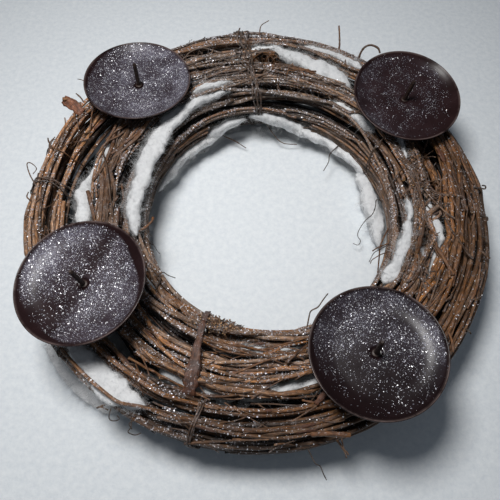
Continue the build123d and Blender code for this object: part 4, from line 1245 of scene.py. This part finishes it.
# side shoots cut short, and little stubs at the nodes
vis = np.where(SEEN & (NRM[:, 2] > 0.1))[0]
for i in vis[rng.integers(0, len(vis), 90)]:
    L, r = rng.uniform(2.0, 5.5), rng.uniform(0.35, 0.75)
    d = unit(NRM[i] * rng.uniform(0.35, 1.0) + TAN[i] * rng.choice([-1, 1]) + 0.25 * rng.normal(size=3))
    s = np.linspace(0, 1, 6)[:, None]
    path = PTS[i] - NRM[i] * 0.5 + d * L * s + 0.25 * L * s**2 * unit(rng.normal(size=3))
    path[:, 2] = np.minimum(path[:, 2], 66.0)
    tube(FINE, path, np.linspace(r * 1.2, r * 0.7, 6), 6, np.clip(rng.normal(0.4, 0.2), 0, 1), rng.uniform(0.7, 1.1), DST[i], 0.08)
FINE.make("fine_twigs", TWIG, "wreath", "twig")

# loose flakes of bark lifting off the stems
PEEL = Build()
for i in vis[rng.integers(0, len(vis), 90)]:
    L, wdt = rng.uniform(4, 14), rng.uniform(0.7, 1.9)
    s = np.linspace(-0.5, 0.5, 9)
    lift = 0.15 + rng.uniform(0.3, 2.2) * np.clip(s + rng.uniform(0.1, 0.4), 0, 1) ** 2
    path = PTS[i] + TAN[i] * (s * L)[:, None] + NRM[i] * lift[:, None] + np.cross(TAN[i], NRM[i]) * (rng.normal(0, 0.5) * s**2)[:, None]
    ribbon(PEEL, path, np.tile(NRM[i], (9, 1)), wdt * (1 - 0.7 * np.abs(2 * s) ** 3), 0.16, np.clip(rng.normal(0.3, 0.2), 0, 1), rng.uniform(0.8, 1.2), DST[i] * 0.6)
# larger pieces: a bark chip at the left edge, a dry leaf rest at the front, a curl at the right
for (u0, v0), (u1, v1), wdt, lift, hue in [
    ((81, 113), (64, 100), 7.4, 2.2, 0.0), ((312, 396), (331, 402), 4.5, 1.6, 0.2), ((318, 404), (326, 391), 3.2, 1.8, 0.1),
    ((96, 128), (108, 118), 2.6, 1.0, 0.0), ((436, 150), (444, 162), 3.4, 0.8, 0.0),
]:
    a, e = anchor(u0, v0), anchor(u1, v1)
    q = px(u1, v1, a[2] + lift)
    s = np.linspace(0, 1, 12)[:, None]
    path = a + np.array([0, 0, 0.7]) + (q - a) * s + Z * 0.8 * np.sin(np.pi * s)
    nrm = np.tile(unit(Z + 0.25 * rng.normal(size=3)), (12, 1))
    ribbon(PEEL, path, nrm, wdt * (0.95 + 0.1 * np.sin(np.pi * s[:, 0]) + 0.08 * rng.normal(size=12)), 0.6, hue, 1.6 if u0 == 81 else 1.15, 0.1)
PEEL.make("bark_flakes", STRIP, "wreath", "bark")

# ------------------------------------------------------------------ candle plates
FLOOR_H, LIP_R, FLAT_R = -6.0, 39.5, 24.0
FLARE_R = ((LIP_R - FLAT_R) ** 2 + FLOOR_H**2) / (2 * -FLOOR_H)
FLARE_A = 2 * math.atan2(-FLOOR_H, LIP_R - FLAT_R)


def dish_height(r):
    rise = FLARE_R - np.sqrt(np.maximum(FLARE_R**2 - np.maximum(r - FLAT_R, 0) ** 2, 0))
    return FLOOR_H + rise - np.clip((4.4 - r) / 1.2, 0, 1)


arc = np.linspace(0, FLARE_A, 16)
prof_top = [(1.6, -7.0), (2.2, -7.0), (3.2, -7.0), (3.6, -6.7), (4.0, -6.33), (4.4, -6.05), (5.0, -6.0)]
prof_top += [(x, -6.0) for x in np.linspace(6.5, 23.0, 12)]
prof_top += [(FLAT_R + FLARE_R * math.sin(a), FLOOR_H + FLARE_R - FLARE_R * math.cos(a)) for a in arc]
lip = np.array(prof_top[-1])
tang_l, norm_l = np.array([math.cos(FLARE_A), math.sin(FLARE_A)]), np.array([math.sin(FLARE_A), -math.cos(FLARE_A)])
mid_l = lip + norm_l * 0.5
bead = [tuple(mid_l + 0.5 * (math.sin(a) * tang_l - math.cos(a) * norm_l)) for a in np.linspace(0.35, math.pi - 0.35, 6)]
prof_low = [(FLAT_R + (FLARE_R + 1) * math.sin(a), FLOOR_H + FLARE_R - (FLARE_R + 1) * math.cos(a)) for a in arc[::-1]]
prof_low += [(x, -7.0) for x in np.linspace(22.0, 5.0, 8)] + [(4.0, -7.0), (2.8, -8.0), (1.6, -8.0)]
PROFILE = np.array(prof_top[:-1] + [tuple(lip - tang_l * 0.12)] + bead + prof_low)
N_TOP = len(prof_top)
DENTS = {"back_left": [px(151, 59, 63.0)], "front_left": [px(86, 261, 74.0)]}


def plate_frame(place):
    n = AXES[place]
    e1 = unit(np.array([1.0, 0, 0]) - n[0] * n)
    return n, e1, np.cross(n, e1)


def density(place, x, y):
    """Share of the plate's upper face that glitter covers, in the plate's own plane."""
    r, a = np.hypot(x, y), np.degrees(np.arctan2(y, x))
    sec = lambda c, w: np.exp(-(((a - c + 180) % 360 - 180) / w) ** 2)
    far = np.clip((r - 16) / 20, 0, 1)
    if place == "front_left":
        rim = 39.2 - 5.4 * sec(26, 32) - 3.0 * sec(228, 34)
        band = np.exp(-((x * 0.9 - y * 0.42 + 3) / 5) ** 2) * np.clip((y + 6) / 8, 0, 1)
        d = 0.66 + 0.85 * sec(148, 44) * far - 0.5 * sec(222, 38) * np.clip(r / 26, 0, 1) + 0.14 * (x * 0.9 - y * 0.42 > 3) - 0.32 * band
    elif place == "front_right":
        rim = 39.3 - 3.0 * sec(205, 36) - 1.6 * sec(268, 46)
        d = 0.4 + 0.26 * np.clip((y + 4) / 22, -1, 1) + 0.34 * sec(5, 28) * far - 0.14 * sec(225, 40) * far + 0.12 * sec(-60, 20) * far
    elif place == "back_left":
        rim = 39.9 - 2.0 * sec(172, 30)
        d = 0.9 + 0.22 * sec(-30, 70) * far + 0.2 * sec(80, 30) * far - 0.36 * sec(170, 38) * far - 0.22 * sec(240, 30) * far
    else:
        rim = 38.9 - 3.6 * sec(-10, 60)
        d = 0.3 + 0.22 * sec(160, 60) * far - 0.2 * sec(-20, 66) * far + 0.2 * sec(235, 24) * far + 0.3 * sec(48, 20) * np.clip((r - 27) / 8, 0, 1)
    return np.clip(d, 0.05, 1.3) * np.clip((rim - r) / 1.7, 0, 1) * np.clip((r - 3.1) / 1.2, 0, 1)


def patchy(place, x, y):
    seed = {"back_left": 3.0, "back_right": 17.0, "front_left": 31.0, "front_right": 53.0}[place]
    return np.array([0.5 + 0.5 * noise.fractal(Vector((u * 0.07 + seed, v * 0.07, seed)), 0.8, 2.0, 3) for u, v in zip(x, y)])


# lacquer: lightness, which is painted light that makes the same lacquer lighter or darker plate by plate, and gloss
LACQUER_PAINTED_LIGHT_AND_GLOSS = {"back_left": (0.6, 0.14), "back_right": (0.78, 0.12), "front_left": (0.7, 0.2), "front_right": (0.42, 0.24)}
SEG = 150
for place in PLATES:
    n, e1, e2 = plate_frame(place)
    c = LIPS[place]
    phi = 2 * np.pi * np.arange(SEG) / SEG
    r, h = PROFILE[:, 0], PROFILE[:, 1]
    p1, p2 = rng.uniform(0, 6.28, 2)
    warp = (0.22 * np.cos(2 * phi + p1) + 0.12 * np.cos(3 * phi + p2))[None, :] * (np.clip((r - 8) / 31, 0, 1) ** 2)[:, None]
    X, Y = r[:, None] * np.cos(phi), r[:, None] * np.sin(phi)
    H = h[:, None] + warp
    for dent in DENTS.get(place, []):
        d = dent - c
        dx, dy = X - d @ e1, Y - d @ e2
        H = H - 0.55 * np.exp(-(dx**2 + dy**2) / 1.6**2)
    V = c + X[..., None] * e1 + Y[..., None] * e2 + H[..., None] * n
    m, k = len(PROFILE), SEG
    i, j = np.meshgrid(np.arange(m), np.arange(k), indexing="ij")
    i2, j2 = (i + 1) % m, (j + 1) % k
    q = np.stack([i * k + j, i2 * k + j, i2 * k + j2, i * k + j2], -1).reshape(-1, 4)
    flat = np.stack([X, Y], -1) * MM + np.array([0.3, 0.3])
    uv = np.stack([flat[i, j], flat[i2, j], flat[i2, j2], flat[i, j2]], -2).reshape(-1, 4, 2)
    tone = np.zeros((m, k, 4))
    upper = (np.arange(m) < N_TOP)[:, None]
    pat = np.zeros((m, k))
    pat[:N_TOP] = patchy(place, X[:N_TOP].ravel(), Y[:N_TOP].ravel()).reshape(N_TOP, k)
    tone[..., 0] = np.clip(density(place, X, Y) * (0.55 + 0.75 * pat), 0, 1.2) * upper
    tone[..., 1], tone[..., 3] = LACQUER_PAINTED_LIGHT_AND_GLOSS[place]
    # a narrow band on the rolled lip, where the painted highlight is laid
    tone[..., 2] = np.exp(-((r - 39.7) / 0.35) ** 2)[:, None] * 0.6
    b = Build()
    b.add(V.reshape(-1, 3), tone.reshape(-1, 4), q, uv)
    b.make(place + "_plate_sheet", PLATE, place + "_plate", "plate", [place + "_dish"])
    # flakes of glitter on the upper face
    x, y = rng.uniform(-39.2, 39.2, (2, 44000))
    ok = np.hypot(x, y) < 39.1
    x, y = x[ok], y[ok]
    pat = 0.1 + 1.05 * patchy(place, x, y) if place != "back_right" else np.clip(2.6 * patchy(place, x, y) - 0.75, 0.05, 1.3)
    ok = rng.uniform(0, 1, len(x)) < density(place, x, y) * pat * 0.42
    x, y = x[ok], y[ok]
    rr, aa = np.hypot(x, y), np.arctan2(y, x)
    w = (0.22 * np.cos(2 * aa + p1) + 0.12 * np.cos(3 * aa + p2)) * np.clip((rr - 8) / 31, 0, 1) ** 2
    hh = dish_height(rr) + w
    slope = (dish_height(rr + 0.05) - dish_height(rr - 0.05)) / 0.1
    nl = np.stack([-slope * np.cos(aa), -slope * np.sin(aa), np.ones_like(rr)], -1)
    nw = nl[:, :1] * e1 + nl[:, 1:2] * e2 + nl[:, 2:] * n
    pos = c + x[:, None] * e1 + y[:, None] * e2 + hh[:, None] * n
    size = (0.13 + 0.1 * rng.gamma(1.5, 0.66, len(x))) * (0.92 if place.startswith("back") else 1.0)
    g = Build()
    big = rng.uniform(0, 1, len(x)) < {"back_left": 0.08, "back_right": 0.03, "front_left": 0.055}.get(place, 0.035)
    flakes(g, pos[~big], unit(nw[~big]), np.minimum(size[~big], 0.6), 0.3, 2.6 if place == "back_right" else 2.1)
    flakes(g, pos[big], unit(nw[big]), np.minimum(size[big] * 1.5, 0.6), 0.22, 0.25)
    g.make(place + "_plate_glitter", GLITTER, place + "_plate", "plate", smooth=False)
    for node in (place + "_spike", place + "_collar"):
        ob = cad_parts[node]
        ob.data.materials.clear()
        ob.data.materials.append(SPIKE)
        for poly in ob.data.polygons:
            poly.use_smooth = True

# ------------------------------------------------------------------ glitter on the vines
pts, nrm, dst = PTS[SEEN], NRM[SEEN], DST[SEEN]
clump = np.array([0.5 + 0.5 * noise.noise(Vector(p * 0.11)) for p in pts])
w = np.clip(dst, 0, 1) ** 1.2 * np.clip(clump * 1.8 - 0.35, 0.08, 1.3) * (0.35 + 0.65 * np.clip(nrm[:, 2], 0, 1))
pick = rng.choice(len(pts), 46000, replace=True, p=w / w.sum())
pos = pts[pick] + 0.7 * rng.normal(size=(len(pick), 3)) * (1 - np.abs(nrm[pick]))
size = np.minimum(0.15 + 0.15 * rng.gamma(1.3, 0.8, len(pick)), 0.75)
g = Build()
flakes(g, pos, nrm[pick], size, 0.5)
pick = rng.choice(len(pts), 900, replace=True, p=w / w.sum())
flakes(g, pts[pick] + 0.1 * nrm[pick], nrm[pick], rng.uniform(0.36, 0.64, len(pick)), 0.35, 0.25)
g.make("vine_glitter", FROST, "wreath", "vine", smooth=False)

# ------------------------------------------------------------------ floor and light
me = bpy.data.meshes.new("floor")
e = 3.0
me.from_pydata([(-e, -e, 0), (e, -e, 0), (e, e, 0), (-e, e, 0)], [], [(0, 1, 2, 3)])
floor = bpy.data.objects.new("floor", me)
scene.collection.objects.link(floor)
m = Mat("pale_floor")
a = m.noise(m.place(230), 1.0, 6.0, 0.66)
big = m.noise(m.place(6), 1.0, 3.0, 0.5)
col = m.ramp(a, [(0.3, srgb(221, 227, 232)), (0.7, srgb(240, 244, 246))])
m.link(m.mix(m.math("MULTIPLY", big, 0.25), col, srgb(222, 228, 233)), m.p.inputs["Base Color"])
m.p.inputs["Roughness"].default_value = 0.85
m.p.inputs["Specular IOR Level"].default_value = 0.2
m.bump(a, 0.0012, 0.35)
me.materials.append(m.m)

world = bpy.data.worlds.new("world")
scene.world = world
world.use_nodes = True
nt = world.node_tree
bg = nt.nodes["Background"]
tc = nt.nodes.new("ShaderNodeTexCoord")
sp = nt.nodes.new("ShaderNodeSeparateXYZ")
rp = nt.nodes.new("ShaderNodeValToRGB")
nt.links.new(tc.outputs["Generated"], sp.inputs[0])
nt.links.new(sp.outputs[2], rp.inputs[0])
nt.links.new(rp.outputs[0], bg.inputs["Color"])
rp.color_ramp.elements[0].position, rp.color_ramp.elements[0].color = 0.0, (0.52, 0.58, 0.66, 1)
rp.color_ramp.elements[1].position, rp.color_ramp.elements[1].color = 1.0, (0.84, 0.95, 1.1, 1)
bg.inputs["Strength"].default_value = 0.115


def area(name, loc, target, size, power, colour):
    d = bpy.data.lights.new(name, "AREA")
    d.shape, d.size, d.energy, d.color = "DISK", size, power, colour
    o = bpy.data.objects.new(name, d)
    scene.collection.objects.link(o)
    o.location = loc
    o.rotation_euler = (Vector(target) - Vector(loc)).to_track_quat("-Z", "Y").to_euler()


area("key", (-0.111, 0.013, 0.549), (0.0, 0.0, 0), 0.16, 2.78, (1.0, 0.99, 0.98))
scene.view_settings.view_transform = "Standard"
